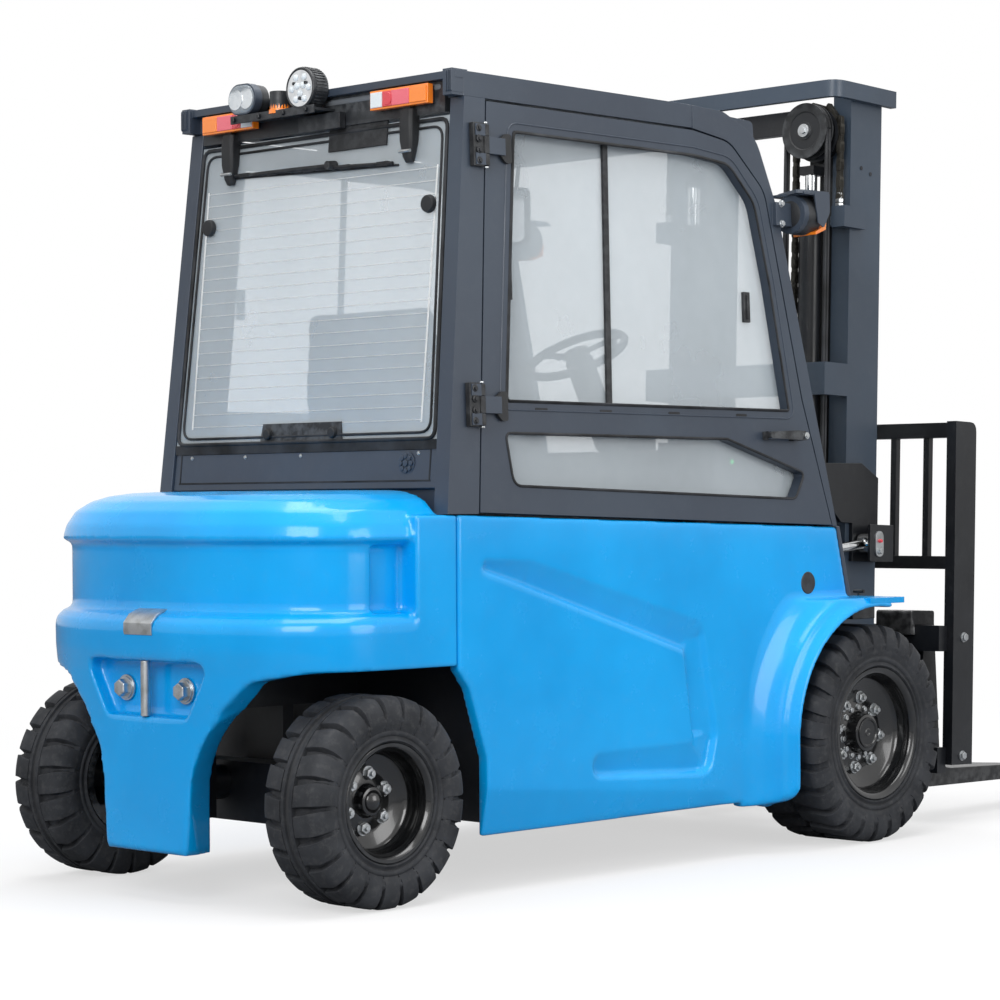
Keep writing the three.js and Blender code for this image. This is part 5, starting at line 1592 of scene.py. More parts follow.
    def build(self, spaces: Spaces) -> None:
        """Sets the whole studio.

        Args:
            spaces: the frames that pieces are drawn in.
        """
        bpy.context.scene.view_settings.view_transform = "Standard"
        self.camera(spaces)
        self.world()
        self.floor()
        self.lamp("overhead", (-0.6, -0.4, 6.4), (0, 0, 0.8), 5.0, 330)
        self.lamp("rear key", (-6.5, -3.0, 3.6), (-0.8, 0, 1.0), 3.4, 230)
        self.lamp("side fill", (0.6, -6.6, 2.6), (0, 0, 1.0), 3.6, 150)
        self.lamp("far rim", (4.8, 4.6, 4.2), (0, 0, 1.2), 3.2, 190)


# ------------------------------------------------------------------------------ castings and pressings


@dataclass
class Counterweight:
    """The cast counterweight: a dome over a sunk band, a ledge, and a tail between the rear wheels."""

    shop: Workshop
    space: Matrix = field(init=False)
    front: float = -1836.4
    fullness: float = 2.5
    steps: int = 56
    voxel: float = 8.5
    levels: tuple = (
        (136, 2440, 640, 2115), (145, 2446, 640, 2115), (500, 2440, 640, 2115), (640, 2449, 640, 2115),
        (700, 2459, 640, 2115), (760, 2461, 640, 2115), (780, 2456, 638, 2115), (800, 2434, 622, 2115),
        (808, 2412, 606, 2115), (816, 2403, 600, 2115), (992, 2404, 600, 2115), (1000, 2407, 603, 2115),
        (1006, 2428, 622, 2115), (1014, 2432, 624, 2115), (1050, 2424, 614, 2112), (1090, 2402, 592, 2096),
        (1118, 2366, 560, 2060), (1134, 2318, 520, 2030), (1143, 2240, 480, 2005), (1146, 2150, 440, 1985),
    )
    arch: tuple = ((-900, 656), (-900, 0), (-165, 0), (-192, 300, 80), (-236, 405, 80), (-300, 535, 80),
                   (-400, 622, 80), (-560, 650, 100))
    recess: tuple = ((-176, 515, 16), (176, 515, 16), (253, 640, 24), (240, 672, 24), (-240, 672, 24),
                     (-253, 640, 24))
    wheel_spot: tuple = (-2120.0, 400.0)
    tyre: float = 292.0
    tyre_levels: tuple = (-2, 292, 340, 385, 425, 460, 490, 516, 538, 556, 570, 580, 590, 602)
    steer_gap: float = 12.0
    bolt_spread: float = 131.5
    # The way a tyre's end faces at full lock, with +Y towards the middle of the truck.
    lock: Vector = field(default_factory=lambda: Vector((-math.sin(math.radians(20)),
                                                         math.cos(math.radians(20)))))

    def __post_init__(self) -> None:
        """Takes its frames from the shop."""
        self.space = self.shop.spaces.truck

    def ring(self, z: float, rear: float, half: float, corner: float) -> list[Point]:
        """One level of the casting: straight sides, and a full curve round its back.

        Args:
            z: its height.
            rear: how far back it reaches.
            half: half its width.
            corner: where its straight sides end.

        Returns:
            The points of the level.
        """
        points: list[Point] = [(self.front, -half, z)]
        power = 2 / self.fullness
        for k in range(self.steps + 1):
            turn = math.pi * k / self.steps
            across, back = math.cos(turn), max(math.sin(turn), 0.0)
            y = -half * math.copysign(abs(across) ** power, across)
            points.append((-corner - (rear - corner) * back**power, y, z))
        return [*points, (self.front, half, z)]

    def casting(self) -> Form:
        """The lofted casting with its square shoulders beside the dome.

        Returns:
            The shape.
        """
        form = Form().loft([self.ring(*level) for level in self.levels])
        for sign in (-1, 1):
            low, high = sorted((sign * 520, sign * 640))
            form.box((-1994, self.front), (low, high), (700, 1075))
            low, high = sorted((sign * 568, sign * 606))
            form.box((-2092, -2034), (low, high), (815, 985))
        return form

    def cutters(self) -> list[Form]:
        """What is cut from the casting.

        Returns:
            One form for each cut.
        """
        mirrored = [(-y, z, *rest) for y, z, *rest in self.arch]
        cuts = [
            Form().prism("x", self.arch, -2600, -1700), Form().prism("x", mirrored, -2600, -1700),
            Form().box((-2330, -1700), (-700, 700), (0, 646)),
            Form().prism("x", self.recess, -2600, -2392, steps=5),
            Form().box((-1881, -1700), (-700, 700), (1074.6, 1300)),
        ]
        for sign in (-1, 1):
            cuts.append(self.steered(sign))
            low, high = sorted((sign * 574, sign * 700))
            cuts.append(Form().box((-2128, -1994), (low, high), (806, 994)))
        return cuts

    def steered(self, sign: int) -> Form:
        """What a steered tyre passes through: circles, cut off by the tyre's end at full lock.

        Args:
            sign: the side of the truck.

        Returns:
            The cutter.
        """
        x, y = self.wheel_spot
        rings = []
        for z in self.tyre_levels:
            reach = math.sqrt(max(self.tyre**2 - max(z - self.tyre, 0.0) ** 2, 0.0))
            radius = math.hypot(reach, 276) + self.steer_gap
            ring = []
            for k in range(96):
                turn = math.tau * k / 96
                spot = Vector((radius * math.cos(turn), radius * math.sin(turn)))
                spot -= self.lock * max(spot.dot(self.lock) - reach - self.steer_gap, 0.0)
                ring.append((x + spot.x, sign * (y - spot.y), z))
            rings.append(ring)
        return Form().loft(rings)

    def build(self) -> None:
        """Builds the casting, the bolts in its tow recess and the plate over its ledge."""
        shop = self.shop
        casting = shop.mesh("counterweight_casting", self.casting(), self.space)
        shop.carve(casting, self.cutters(), self.space)
        shop.cast(casting, self.voxel, 2)
        shop.dress(casting, BODY_BLUE, "chassis", smooth=80, replaces=("counterweight",))
        bolts = Form()
        for sign in (-1, 1):
            spot = (-2395, sign * self.bolt_spread, 589)
            bolts.rod(spot, (-2401, spot[1], spot[2]), 37, 40)
            bolts.hexagon((-2400, spot[1], spot[2]), (-1, 0, 0), 44, 28)
        shop.piece("tow_recess_bolts", bolts, self.space, ZINC, "chassis", 1.0)
        skin = [(-2402, 818), (-2418, 813), (-2444, 802), (-2464.6, 778), (-2464.6, 752), (-2462, 744)]
        under = [(-2460, 752), (-2460, 774), (-2440, 796), (-2416, 806), (-2402, 808)]
        plate = Form().prism("y", skin + under, -62, 62)
        shop.piece("ledge_latch_plate", plate, self.space, ZINC, "chassis", 1.0)


@dataclass
class SidePanel:
    """A pressed side panel with a folded groove, a tucked-in foot and the front wheel's fender."""

    shop: Workshop
    side: Side
    space: Matrix = field(init=False)
    voxel: float = 7.5
    cowl_top: tuple = (-97.1, 1024)
    outline: tuple = (
        (-1833, 1075, 6), (-1833, 641), (-1786, 582, 60), (-1718, 380, 60), (-1718, 162, 10), (-562, 168),
        (-452, 142), (-440, 353), (-300, 690, 100), (-42, 772), (-39, 795), cowl_top,
    )
    # Each stretch of the groove: its two ends, half its width at each, and how deep its two edges are.
    groove: tuple = (
        ((-1712, 930), (-1540, 902), 14, 34, 3, 22), ((-1540, 902), (-815, 696), 34, 45, 3, 25),
        ((-815, 696), (-764, 396), 45, 52, 14, 18), ((-764, 396), (-778, 324), 52, 46, 20, 6),
        ((-778, 324), (-1238, 334), 46, 32, 23, 2),
    )
    flare: tuple = (
        (412, -600), (412, -739.5), (424, -739.5), (430, -728), (456, -706), (460, -708), (466, -708),
        (470, -700), (482, -684), (508, -664), (548, -646), (584, -639), (584, -600),
    )
    hub_z: float = 353

    def __post_init__(self) -> None:
        """Takes its frames from the shop."""
        self.space = self.shop.spaces.side(self.side)

    def fender(self) -> Form:
        """The flare that stands out round the front tyre, straight down behind it and flat on top.

        Returns:
            The shape.
        """
        rings = []
        for k in range(33):
            turn = math.radians(80 + 100 * k / 32)
            rings.append([(r * math.cos(turn), y, min(self.hub_z + r * math.sin(turn), 794.5))
                          for r, y in self.flare])
        for z, widest in ((300, -740), (240, -740), (205, -738), (182, -722), (166, -694), (154, -652)):
            rings.append([(-r, max(y, widest), z) for r, y in self.flare])
        return Form().loft(rings)

    def depth(self, x: np.ndarray, z: np.ndarray) -> np.ndarray:
        """How far the pressing lies inside its plane at each place, in millimetres.

        Args:
            x: places along the panel.
            z: heights of the places.

        Returns:
            One depth for each place.
        """
        best = np.full(x.shape, 1e9)
        sunk = np.zeros(x.shape)
        for (x0, z0), (x1, z1), half0, half1, first, last in self.groove:
            dx, dz = x1 - x0, z1 - z0
            length = math.hypot(dx, dz)
            along = np.clip(((x - x0) * dx + (z - z0) * dz) / length**2, 0, 1)
            gap_x, gap_z = x - x0 - along * dx, z - z0 - along * dz
            away = np.hypot(gap_x, gap_z)
            half = half0 + (half1 - half0) * along
            side = np.clip((gap_x * dz - gap_z * dx) / length / half, -1, 1)
            floor = first + (last - first) * (side + 1) / 2
            edge = np.clip((half + 7 - away) / 14, 0, 1)
            here = floor * edge * edge * (3 - 2 * edge)
            nearer = away / half < best
            sunk = np.where(nearer, np.maximum(here, np.where(best < 1.2, sunk * 0.6, 0)), sunk)
            best = np.minimum(best, away / half)
        foot = 297 - (x + 1720) * 0.0795
        tuck = np.clip(foot - z, 0, None) * 0.2 * np.clip((-620 - x) / 60, 0, 1)
        return sunk + tuck

    def pressed(self, obj: bpy.types.Object) -> None:
        """Moves the outer skin of the panel in by the pressing's depth.

        Args:
            obj: the object.
        """
        data = obj.data
        spots = np.empty(len(data.vertices) * 3)
        data.vertices.foreach_get("co", spots)
        spots = spots.reshape(-1, 3)
        inverse = np.array(self.space.inverted())
        local = spots @ inverse[:3, :3].T + inverse[:3, 3]
        share = np.clip((-local[:, 1] - 606) / 26, 0, 1) * (local[:, 1] > -652)
        local[:, 1] += self.depth(local[:, 0], local[:, 2]) * share
        place = np.array(self.space)
        spots = local @ place[:3, :3].T + place[:3, 3]
        data.vertices.foreach_set("co", spots.ravel())
        data.update()

    def build(self) -> None:
        """Builds the panel, the blanking cap in it and the strip down its front edge."""
        shop, t = self.shop, self.side.name
        form = Form().prism("y", self.outline, -640, -600).join(self.fender())
        panel = shop.mesh(f"side_panel_{t}_skin", form, self.space)
        shop.cast(panel, self.voxel, 2)
        self.pressed(panel)
        shop.soften(panel, 3)
        shop.dress(panel, BODY_BLUE, "chassis", smooth=80, replaces=(f"side_panel_{t}",))
        shelf = [(-46, -736), (146, -736, 14), (146, -409), (-46, -409)]
        shop.piece(f"fender_shelf_{t}", Form().prism("z", shelf, 774, 793, steps=4), self.space, BODY_BLUE,
                   "chassis", 4)
        cap = Form().lathe([(0, 0), (34, 0), (36, -2), (33, -5), (0, -6)], 40,
                           place=Matrix.Translation((-249, -638, 846)))
        shop.piece(f"panel_cap_{t}", cap, self.space, PLASTIC, "chassis")
        strip = [(-98, 1027), (-41, 797), (-22, 797), (-80, 1027)]
        shop.piece(f"cowl_strip_{t}", Form().prism("y", strip, -640, -604), self.space, CAB_GREY,
                   "chassis", 4)


def panels(shop: Workshop) -> "Batch":
    """Both side panels."""
    return Batch([SidePanel(shop, side) for side in Side])


@dataclass
class Batch:
    """Several sub-assemblies built one after another."""

    parts: list

    def build(self) -> None:
        """Builds each of them."""
        for part in self.parts:
            part.build()


# ------------------------------------------------------------------------------------------- cab sides


def door_rear(z: float) -> float:
    """Rear edge of the door at a height."""
    return -1742 + (z - 1075) * 0.0622


def pillar_rear(z: float) -> float:
    """Rear edge of the rear pillar at a height."""
    return -1873 + (z - 1075) * 0.0972


def cowl(z: float) -> float:
    """The cab's sloping front edge at a height."""
    return -39 - (z - 795) * 0.2537


@dataclass
class CabSide:
    """The seals, hinges, handle and lamp of one side of the cab, drawn on its leaning face."""

    shop: Workshop
    side: Side
    space: Matrix = field(init=False)
    window: tuple = (
        (-1627, 1396, 18), (-326, 1393, 12), (-404, 1790, 160), (-470, 2050, 110), (-590, 2165, 90),
        (-760, 2180, 60), (-1565, 2180, 22),
    )
    low_window: tuple = ((-1628, 1305, 16), (-1600, 1159, 40), (-310, 1118, 30), (-262, 1196, 16),
                         (-640, 1300, 30))
    hinge_heights: tuple = (2125, 1385)
    pin_out: float = 14
    headlamp: tuple = (-272, 2025)

    def __post_init__(self) -> None:
        """Takes its frames from the shop."""
        self.space = self.shop.spaces.cab(self.side)

    def loop(self, outline: Sequence[Corner], grow: float, level: float) -> list[Point]:
        """A closed path round an outline, moved outwards by a distance and set at a depth.

        Args:
            outline: corners with their radii.
            grow: how far it is moved outwards.
            level: its depth.

        Returns:
            The path.
        """
        flat = [Vector(p) for p in rounded(outline, 6)]
        path = []
        for i, here in enumerate(flat):
            along = (flat[(i + 1) % len(flat)] - flat[i - 1]).normalized()
            path.append((here.x - along.y * grow, level, here.y + along.x * grow))
        return path

    def seals(self) -> None:
        """Rubber round both windows and the black line between door and frame."""
        shop, t, body = self.shop, self.side.name, f"door_{self.side.name}"
        seal = Form()
        turn = 1 if self.winding(self.window) > 0 else -1
        seal.tube(self.loop(self.window, 3.0 * turn, -0.5), 5.5, 8, closed=True, flat=0.7)
        shop.piece(f"door_window_seal_{t}", seal, self.space, SEAL_AND_SHADE_BLACK, body)
        low = Form().tube(self.loop(self.low_window, -2.5, -0.3), 4.2, 8, closed=True, flat=0.8)
        shop.piece(f"door_low_seal_{t}", low, self.space, SEAL_AND_SHADE_BLACK, body)
        rim = Form().tube(self.loop(self.window, -22.0, 0.2), 2.6, 8, closed=True)
        shop.piece(f"door_window_bead_{t}", rim, self.space, CAB_GREY, body)

    @staticmethod
    def winding(outline: Sequence[Corner]) -> float:
        """Twice the signed area of an outline."""
        return sum(a[0] * b[1] - b[0] * a[1] for a, b in zip(outline, (*outline[1:], outline[0])))

    def sliders(self) -> None:
        """The bar between the sliding panes, the finger grips and the drain slots."""
        shop, t, body = self.shop, self.side.name, f"door_{self.side.name}"
        bar = Form().prism("y", [(-1162, 1397), (-1140, 1397), (-1127, 2179), (-1149, 2179)], 26, 35.6)
        shop.piece(f"door_divider_{t}", bar, self.space, PLASTIC, body, 1.5)
        grips = Form()
        for x, z in ((-1574, 1742), (-492, 1722)):
            grips.box((x - 15, x + 15), (24, 35.6), (z - 48, z + 48))
            grips.box((x - 6, x + 6), (17, 26), (z - 38, z + 38))
        shop.piece(f"door_grips_{t}", grips, self.space, PLASTIC, body, 2.0)
        # The drain slots are drawn as thin black patches that stand for the shade inside the openings:
        # painted shade.
        slots = Form()
        for x in (-1479, -1200, -890, -568):
            slot = [(x - 26, 1374, 4), (x + 26, 1374, 4), (x + 26, 1382, 4), (x - 26, 1382, 4)]
            slots.prism("y", slot, -1.0, 2.0, steps=3)
        shop.piece(f"door_slots_{t}", slots, self.space, SEAL_AND_SHADE_BLACK, body)

    def hinges(self) -> None:
        """Black hinge plates with their bolts, barrels and bright pin ends."""
        shop, t = self.shop, self.side.name
        plates, leaves, pins, bolts = Form(), Form(), Form(), []
        for z in self.hinge_heights:
            x = door_rear(z) - self.pin_out
            plates.box((x - 52, x - 12), (-18, 0), (z - 62, z + 62))
            for low, high in ((z - 58.5, z - 25.5), (z + 25.5, z + 58.5)):
                plates.rod((x, -self.pin_out, low), (x, -self.pin_out, high), 10.5, 24)
            leaves.rod((x, -self.pin_out, z - 24), (x, -self.pin_out, z + 24), 10.5, 24)
            leaves.prism("y", [(x, z - 24), (x + 62, z - 24, 8), (x + 84, z - 44, 10), (x + 108, z - 44, 8),
                               (x + 108, z + 40, 8), (x + 84, z + 40, 10), (x + 62, z + 24, 8), (x, z + 24)],
                         -12, -2.5, steps=4)
            for spot in (-66, 61):
                pins.rod((x, -self.pin_out, z + spot), (x, -self.pin_out, z + spot + 5), 7, 20)
            bolts += [((x - 33, -18, z + dz), (0, -1, 0), 1.0) for dz in (-46, -16, 16, 46)]
        shop.piece(f"hinge_plates_{t}", plates, self.space, PLASTIC, "chassis", 1.5)
        shop.piece(f"hinge_leaves_{t}", leaves, self.space, PLASTIC, f"door_{t}", 1.5)
        shop.piece(f"hinge_pins_{t}", pins, self.space, ZINC, "chassis", 1.0)
        head = Form().lathe([(0, 0), (11, 0), (11, 3), (8, 5), (0, 5)], 20).rod((0, 5, 0), (0, 9, 0), 6, 6)
        shop.fasteners(f"hinge_bolts_{t}", bolts, head, self.space, FRAME_BLACK, "chassis")

    def handle(self) -> None:
        """The lever handle with its lock, and the lamp and knob that show through the low window."""
        shop, t, body = self.shop, self.side.name, f"door_{self.side.name}"
        grip = Form().prism("y", [(-468, 1326, 8), (-330, 1332, 8), (-286, 1330, 10), (-286, 1300, 10),
                                  (-330, 1302, 8), (-468, 1306, 8)], -38, -20, steps=4)
        grip.box((-466, -436), (-24, 1), (1302, 1328)).box((-334, -300), (-22, 1), (1300, 1332))
        shop.piece(f"door_handle_{t}", grip, self.space, PLASTIC, body, 3.0)
        lock = Form().rod((-297, -36, 1315), (-297, -47, 1315), 11, 24)
        lock.rod((-297, -46, 1315), (-297, -49, 1315), 7, 16)
        shop.piece(f"door_lock_{t}", lock, self.space, ZINC, body, 0.8)
        knob = Form().box((-716, -664), (44, 46.5), (1200, 1232)).rod((-672, 43, 1216), (-672, 47, 1216),
                                                                      9, 20)
        shop.piece(f"door_catch_{t}", knob, self.space, PLASTIC, body, 0.6)
        shop.piece(f"door_lamp_{t}", Form().rod((-566, 43, 1234), (-566, 47, 1234), 6, 16), self.space,
                   LED_GREEN, body)

    def corner(self) -> None:
        """The headlamp with its bracket, shade and indicator, on the front pillar."""
        shop, t = self.shop, self.side.name
        x, z = self.headlamp
        shell = Form().lathe([(0, 0), (36, 0), (50, 6), (63.4, 28), (63.4, 90), (60, 96), (0, 96)], 40,
                             place=turned((x - 33, -8, z), -90, "Z"))
        shop.piece(f"headlamp_{t}", shell, self.space, LAMP_SHELL, "chassis", 1.0)
        lens = Form().lathe([(0, 0), (56, 0), (52, 4), (30, 8), (0, 9)], 40,
                            place=turned((x + 62, -8, z), -90, "Z"))
        shop.piece(f"headlamp_lens_{t}", lens, self.space, PALE_LENS, "chassis")
        shade = Form().prism("y", [(x + 14, z + 66), (x + 92, z + 66, 6), (x + 92, z + 8, 6),
                                   (x + 58, z - 44, 8), (x + 30, z - 30)], -76, -72, steps=3)
        shade.prism("z", [(x - 60, -60, 10), (x - 8, -75.5, 8), (x + 92, -75.5, 4), (x + 92, 50, 8),
                          (x - 10, 56, 10)],
                    z + 62, z + 73)
        shop.piece(f"headlamp_shade_{t}", shade, self.space, CAB_GREY, "chassis", 1.5)
        glow = Form().prism("y", [(x + 34, z - 66, 4), (x + 88, z - 46, 4), (x + 94, z - 8, 4),
                                  (x + 84, z - 8, 4), (x + 76, z - 38, 4), (x + 34, z - 56, 4)], -60, 30,
                                  steps=3)
        shop.piece(f"indicator_{t}", glow, self.space, AMBER, "chassis", 1.0)
        bolts = [((cowl(z) - 4, -16, z + dz), (0, -1, 0), 0.8) for dz in (-34, 30)]
        head = Form().hexagon((0, 0, 0), (0, 1, 0), 20, 12)
        shop.fasteners(f"headlamp_bolts_{t}", bolts, head, self.space, ZINC, "chassis")

    def build(self) -> None:
        """Builds everything on this side of the cab."""
        self.seals()
        self.sliders()
        self.hinges()
        self.handle()
        self.corner()


def cab_sides(shop: Workshop) -> Batch:
    """Both sides of the cab."""
    return Batch([CabSide(shop, side) for side in Side])


@dataclass
class CabRear:
    """The rear of the cab: window, wiper, arms, lamps and the louvred panel under the glass."""

    shop: Workshop
    space: Matrix = field(init=False)
    low: float = 1283
    high: float = 2214
    arm: tuple = ((2242, 24, 38), (2205, 27, 40), (2150, 27, 34), (2106, 19, 26), (2088, 15, 16))

    def __post_init__(self) -> None:
        """Takes its frames from the shop."""
        self.space = self.shop.spaces.truck

    @staticmethod
    def half(z: float) -> float:
        """Half the width between the rear pillars at a height."""
        return 640 - (z - 1075) * math.tan(math.radians(1.9)) - 56

    def face(self, z: float) -> float:
        """The outer face of the rear glass at a height."""
        return pillar_rear(z) + 6

    def frame(self, low: float, high: float, inset: float, out: float, corner: float) -> list[Point]:
        """A closed path on the glass with rounded corners.

        Args:
            low: its lower height.
            high: its upper height.
            inset: how far inside the opening it runs.
            out: how far it stands off the glass.
            corner: where its straight sides end.

        Returns:
            The path.
        """
        corners = [(-self.half(low) + inset, low, corner), (self.half(low) - inset, low, corner),
                   (self.half(high) - inset, high, corner), (-self.half(high) + inset, high, corner)]
        return [(self.face(z) - out, y, z) for y, z in rounded(corners, 5)]

    def window(self) -> None:
        """The glass's seals, its heater wires, its two arms and its knobs."""
        shop = self.shop
        seal = Form().tube(self.frame(self.low + 8, self.high - 10, 10, 3, 30), 6, 8, closed=True)
        seal.tube(self.frame(self.low + 26, self.high - 30, 30, 2, 40), 4, 8, closed=True)
        shop.piece("rear_window_seals", seal, self.space, SEAL_AND_SHADE_BLACK, "chassis")
        lean = (pillar_rear(2100) - pillar_rear(2060)) / 40
        count, low, gap = 20, 1345, 38.0
        wire = Form().box((-0.5, 0.4), (-self.half(1700) + 60, self.half(1700) - 60), (-0.8, 0.8))
        start = self.space @ Matrix.Translation((self.face(low) - 0.2, 0, low))
        shop.row("rear_heater", wire, count, (gap * lean, 0.0, gap), start, HEATER, "chassis")
        bus = Form()
        for sign in (-1, 1):
            y = sign * (self.half(1700) - 58)
            bus.loft([[(self.face(z) - 0.7, y - 3, z), (self.face(z) - 0.7, y + 3, z),
                       (self.face(z) + 0.2, y + 3, z), (self.face(z) + 0.2, y - 3, z)] for z in (1338,
                                                                                                 2074)])
        shop.piece("rear_heater_bars", bus, self.space, HEATER, "chassis")
        arms, knobs, tips = Form(), Form(), Form()
        for sign in (-1, 1):
            y = sign * 395
            rings = []
            for z, wide, out in self.arm:
                x = self.face(z)
                rings.append([(x - 2, y - wide, z), (x - out + 8, y - wide, z), (x - out, y - wide + 8, z),
                              (x - out, y + wide - 8, z), (x - out + 8, y + wide, z), (x - 2, y + wide, z)])
            arms.loft(rings)
            arms.box((self.face(2240) - 34, self.face(2240) + 12), (y - 14, y + 14), (2232, 2262))
            for z, across, radius in ((1962, self.half(1962) - 70, 27), (1316, 143, 17)):
                spot = (self.face(z) - 1, sign * across, z)
                knobs.rod(spot, (spot[0] - 16, spot[1], spot[2]), radius, 32, 0.9)
            tips.rod((self.face(2120) - 30, y - 22, 2120), (self.face(2120) - 30, y + 22, 2120), 5, 12)
        low, high = self.low + 6, 1348
        stay = [(self.face(low) - 4, -182, low), (self.face(low) - 4, 182, low), (self.face(low), 182, low),
                (self.face(low), -182, low)]
        top = [(self.face(high) - 4, -172, high), (self.face(high) - 4, 172, high),
               (self.face(high), 172, high), (self.face(high), -172, high)]
        shop.piece("rear_window_stay", Form().loft([stay, top]), self.space, PLASTIC, "chassis")
        sill = Form().box((self.face(self.low) - 4, self.face(self.low) + 30),
                          (-self.half(1280), self.half(1280)), (self.low - 22, self.low + 6))
        shop.piece("rear_window_sill", sill, self.space, SEAL_AND_SHADE_BLACK, "chassis")
        shop.piece("rear_window_arms", arms, self.space, PLASTIC, "chassis", 2.5)
        shop.piece("rear_window_knobs", knobs, self.space, PLASTIC, "chassis", 3.0)
        shop.piece("rear_arm_pins", tips, self.space, ZINC, "chassis")

    def wiper(self) -> None:
        """The wiper's arm and blade across the top of the glass, its spindle and bracket."""
        shop = self.shop
        z = 2100
        x = self.face(z)
        path = smooth_path([(x - 20, -70, z + 8), (x - 22, 90, z + 10), (x - 16, 300, z + 12)], 5)
        arm = Form().tube(path, 5, 8, flat=0.5)
        arm.rod((x - 2, -70, z + 8), (x - 34, -70, z + 8), 15, 20, 0.8)
        blade = Form()
        blade.tube([(x - 13, -330, z - 8), (x - 15, 0, z + 4), (x - 13, 370, z + 14)], 5.5, 8)
        blade.tube([(x - 4, -345, z - 14), (x - 4, 0, z - 4), (x - 4, 385, z + 8)], 3.5, 6)
        for share in (-0.8, -0.35, 0.1, 0.55, 0.9):
            y = 360 * share
            blade.box((x - 18, x - 4), (y - 22, y + 22), (z - 3 + share * 11, z + 9 + share * 11))
        shop.piece("rear_wiper_arm", arm, self.space, PLASTIC, "chassis")
        shop.piece("rear_wiper_blade", blade, self.space, SEAL_AND_SHADE_BLACK, "chassis")
        plate = Form().prism("y", [(self.face(2240) - 6, 2240), (self.face(2150) - 6, 2150, 6),
                                   (self.face(2150) - 1, 2150), (self.face(2240) - 1, 2240)], -290, -40)
        plate.prism("y", [(self.face(2150) + 14, 2170, 8), (self.face(2150) + 70, 2170, 10),
                          (self.face(2150) + 70, 2100, 10), (self.face(2150) + 10, 2090, 8)], -300, 30)
        shop.piece("rear_wiper_motor", plate, self.space, PLASTIC, "chassis", 3.0)

    def tail_lamps(self) -> None:
        """The two tail lamps, each with a clear, a red, a ribbed red and an amber field."""
        shop = self.shop
        x = -1800
        shells, amber, red, grid, pale = Form(), Form(), Form(), Form(), Form()
        for sign in (-1, 1):
            shells.box((x - 2, x + 20), span(sign, 258, 498), (2248, 2304))
            pale.box((x - 7, x - 1), span(sign, 264, 312), (2254, 2298))
            red.box((x - 7, x - 1), span(sign, 314, 350), (2254, 2298))
            grid.box((x - 7, x - 1), span(sign, 352, 424), (2254, 2298))
            amber.box((x - 7, x - 1), span(sign, 426, 493), (2254, 2298))
            red.rod((x - 3, sign * 336, 2276), (x - 9, sign * 336, 2276), 19, 28)
        for name, form, finish in (("shells", shells, AMBER), ("clear", pale, PALE_LENS),
                                   ("round", red, RED), ("grid", grid, PINK), ("amber", amber, AMBER)):
            shop.piece(f"tail_lamp_{name}", form, self.space, finish, "chassis", 1.5)

    def work_lamps(self) -> None:
        """The finned round lamp, the twin oval lamp and the beacon between them."""
        shop = self.shop
        back = -1852
        face = Matrix.Rotation(math.radians(90), 4, "Z")
        round_at = Matrix.Translation((back, -13, 2335)) @ face
        shell = Form().lathe([(0, -54), (40, -54), (58, -40), (62.5, -34), (62.5, 2), (58, 5), (55, 1),
                              (0, 1)], 48,
                             place=round_at)
        shop.piece("round_lamp_shell", shell, self.space, LAMP_SHELL, "chassis", 1.0)
        fin = Form().box((-2, 2), (-50, -8), (58, 64.5))
        shop.ring("round_lamp_fins", fin, 40, self.space @ round_at, LAMP_SHELL, "chassis")
        dish = Form().lathe([(0, 1.2), (54, 1.2), (54, 3), (0, 3)], 48, place=round_at)
        shop.piece("round_lamp_dish", dish, self.space, REFLECTOR, "chassis")
        cells = []
        for k in range(6):
            turn = math.tau * k / 6
            cells.append(((back - 3, -13 + 37 * math.cos(turn), 2335 + 37 * math.sin(turn)), (-1, 0, 0),
                          1.0))
        for k in range(3):
            turn = math.tau * k / 3 + 0.5
            cells.append(((back - 3, -13 + 15 * math.cos(turn), 2335 + 15 * math.sin(turn)), (-1, 0, 0),
                          1.0))
        cell = Form().lathe([(0, 0), (10.5, 0), (9.5, 3), (5, 5.5), (0, 6)], 20)
        shop.fasteners("round_lamp_cells", cells, cell, self.space, PALE_LENS, "chassis")
        screws = [((back - 3, -13 + 30 * math.cos(t), 2335 + 30 * math.sin(t)), (-1, 0, 0), 1.0)
                  for t in (0.55, 2.64, 4.71)]
        shop.fasteners("round_lamp_screws", screws, Form().rod((0, 0, 0), (0, 4, 0), 5, 10), self.space,
                       PLASTIC, "chassis")
        oval = [(y * 1.0 + dy, z) for y, z, dy in self.oval(46)]
        housing = Form().loft([[(back + 58, 252 + (y - 252) * 0.62, 2330 + (z - 2330) * 0.62) for y,
                                z in oval],
                               [(back + 26, 252 + (y - 252) * 1.02, 2330 + (z - 2330) * 1.04) for y,
                                z in oval],
                               [(back - 1, 252 + (y - 252) * 1.01, 2330 + (z - 2330) * 1.02) for y,
                                z in oval]])
        shop.piece("oval_lamp_shell", housing, self.space, CAB_GREY, "chassis", 1.0)
        cups, glass = Form(), Form()
        for y in (228, 276):
            cups.lathe([(0, 2), (24, 2), (31, 4), (31, 6), (22, 4.5), (0, 3.2)], 28,
                       place=Matrix.Translation((back, y, 2330)) @ face)
        glass.loft([[(back - 2, 252 + (y - 252) * 0.96, 2330 + (z - 2330) * 0.94) for y, z in oval],
                    [(back - 9, 252 + (y - 252) * 0.86, 2330 + (z - 2330) * 0.82) for y, z in oval]])
        shop.piece("oval_lamp_cups", cups, self.space, REFLECTOR, "chassis")
        shop.piece("oval_lamp_glass", glass, self.space, LAMP_GLASS, "chassis", 2.0)
        beacon = Form().lathe([(0, 0), (34, 0), (33, 12), (30, 14), (29, 56), (24, 66), (0, 68)], 32,
                              place=turned((-1826, 110, 2273), 90, "X"))
        shop.piece("beacon", beacon, self.space, AMBER, "chassis")

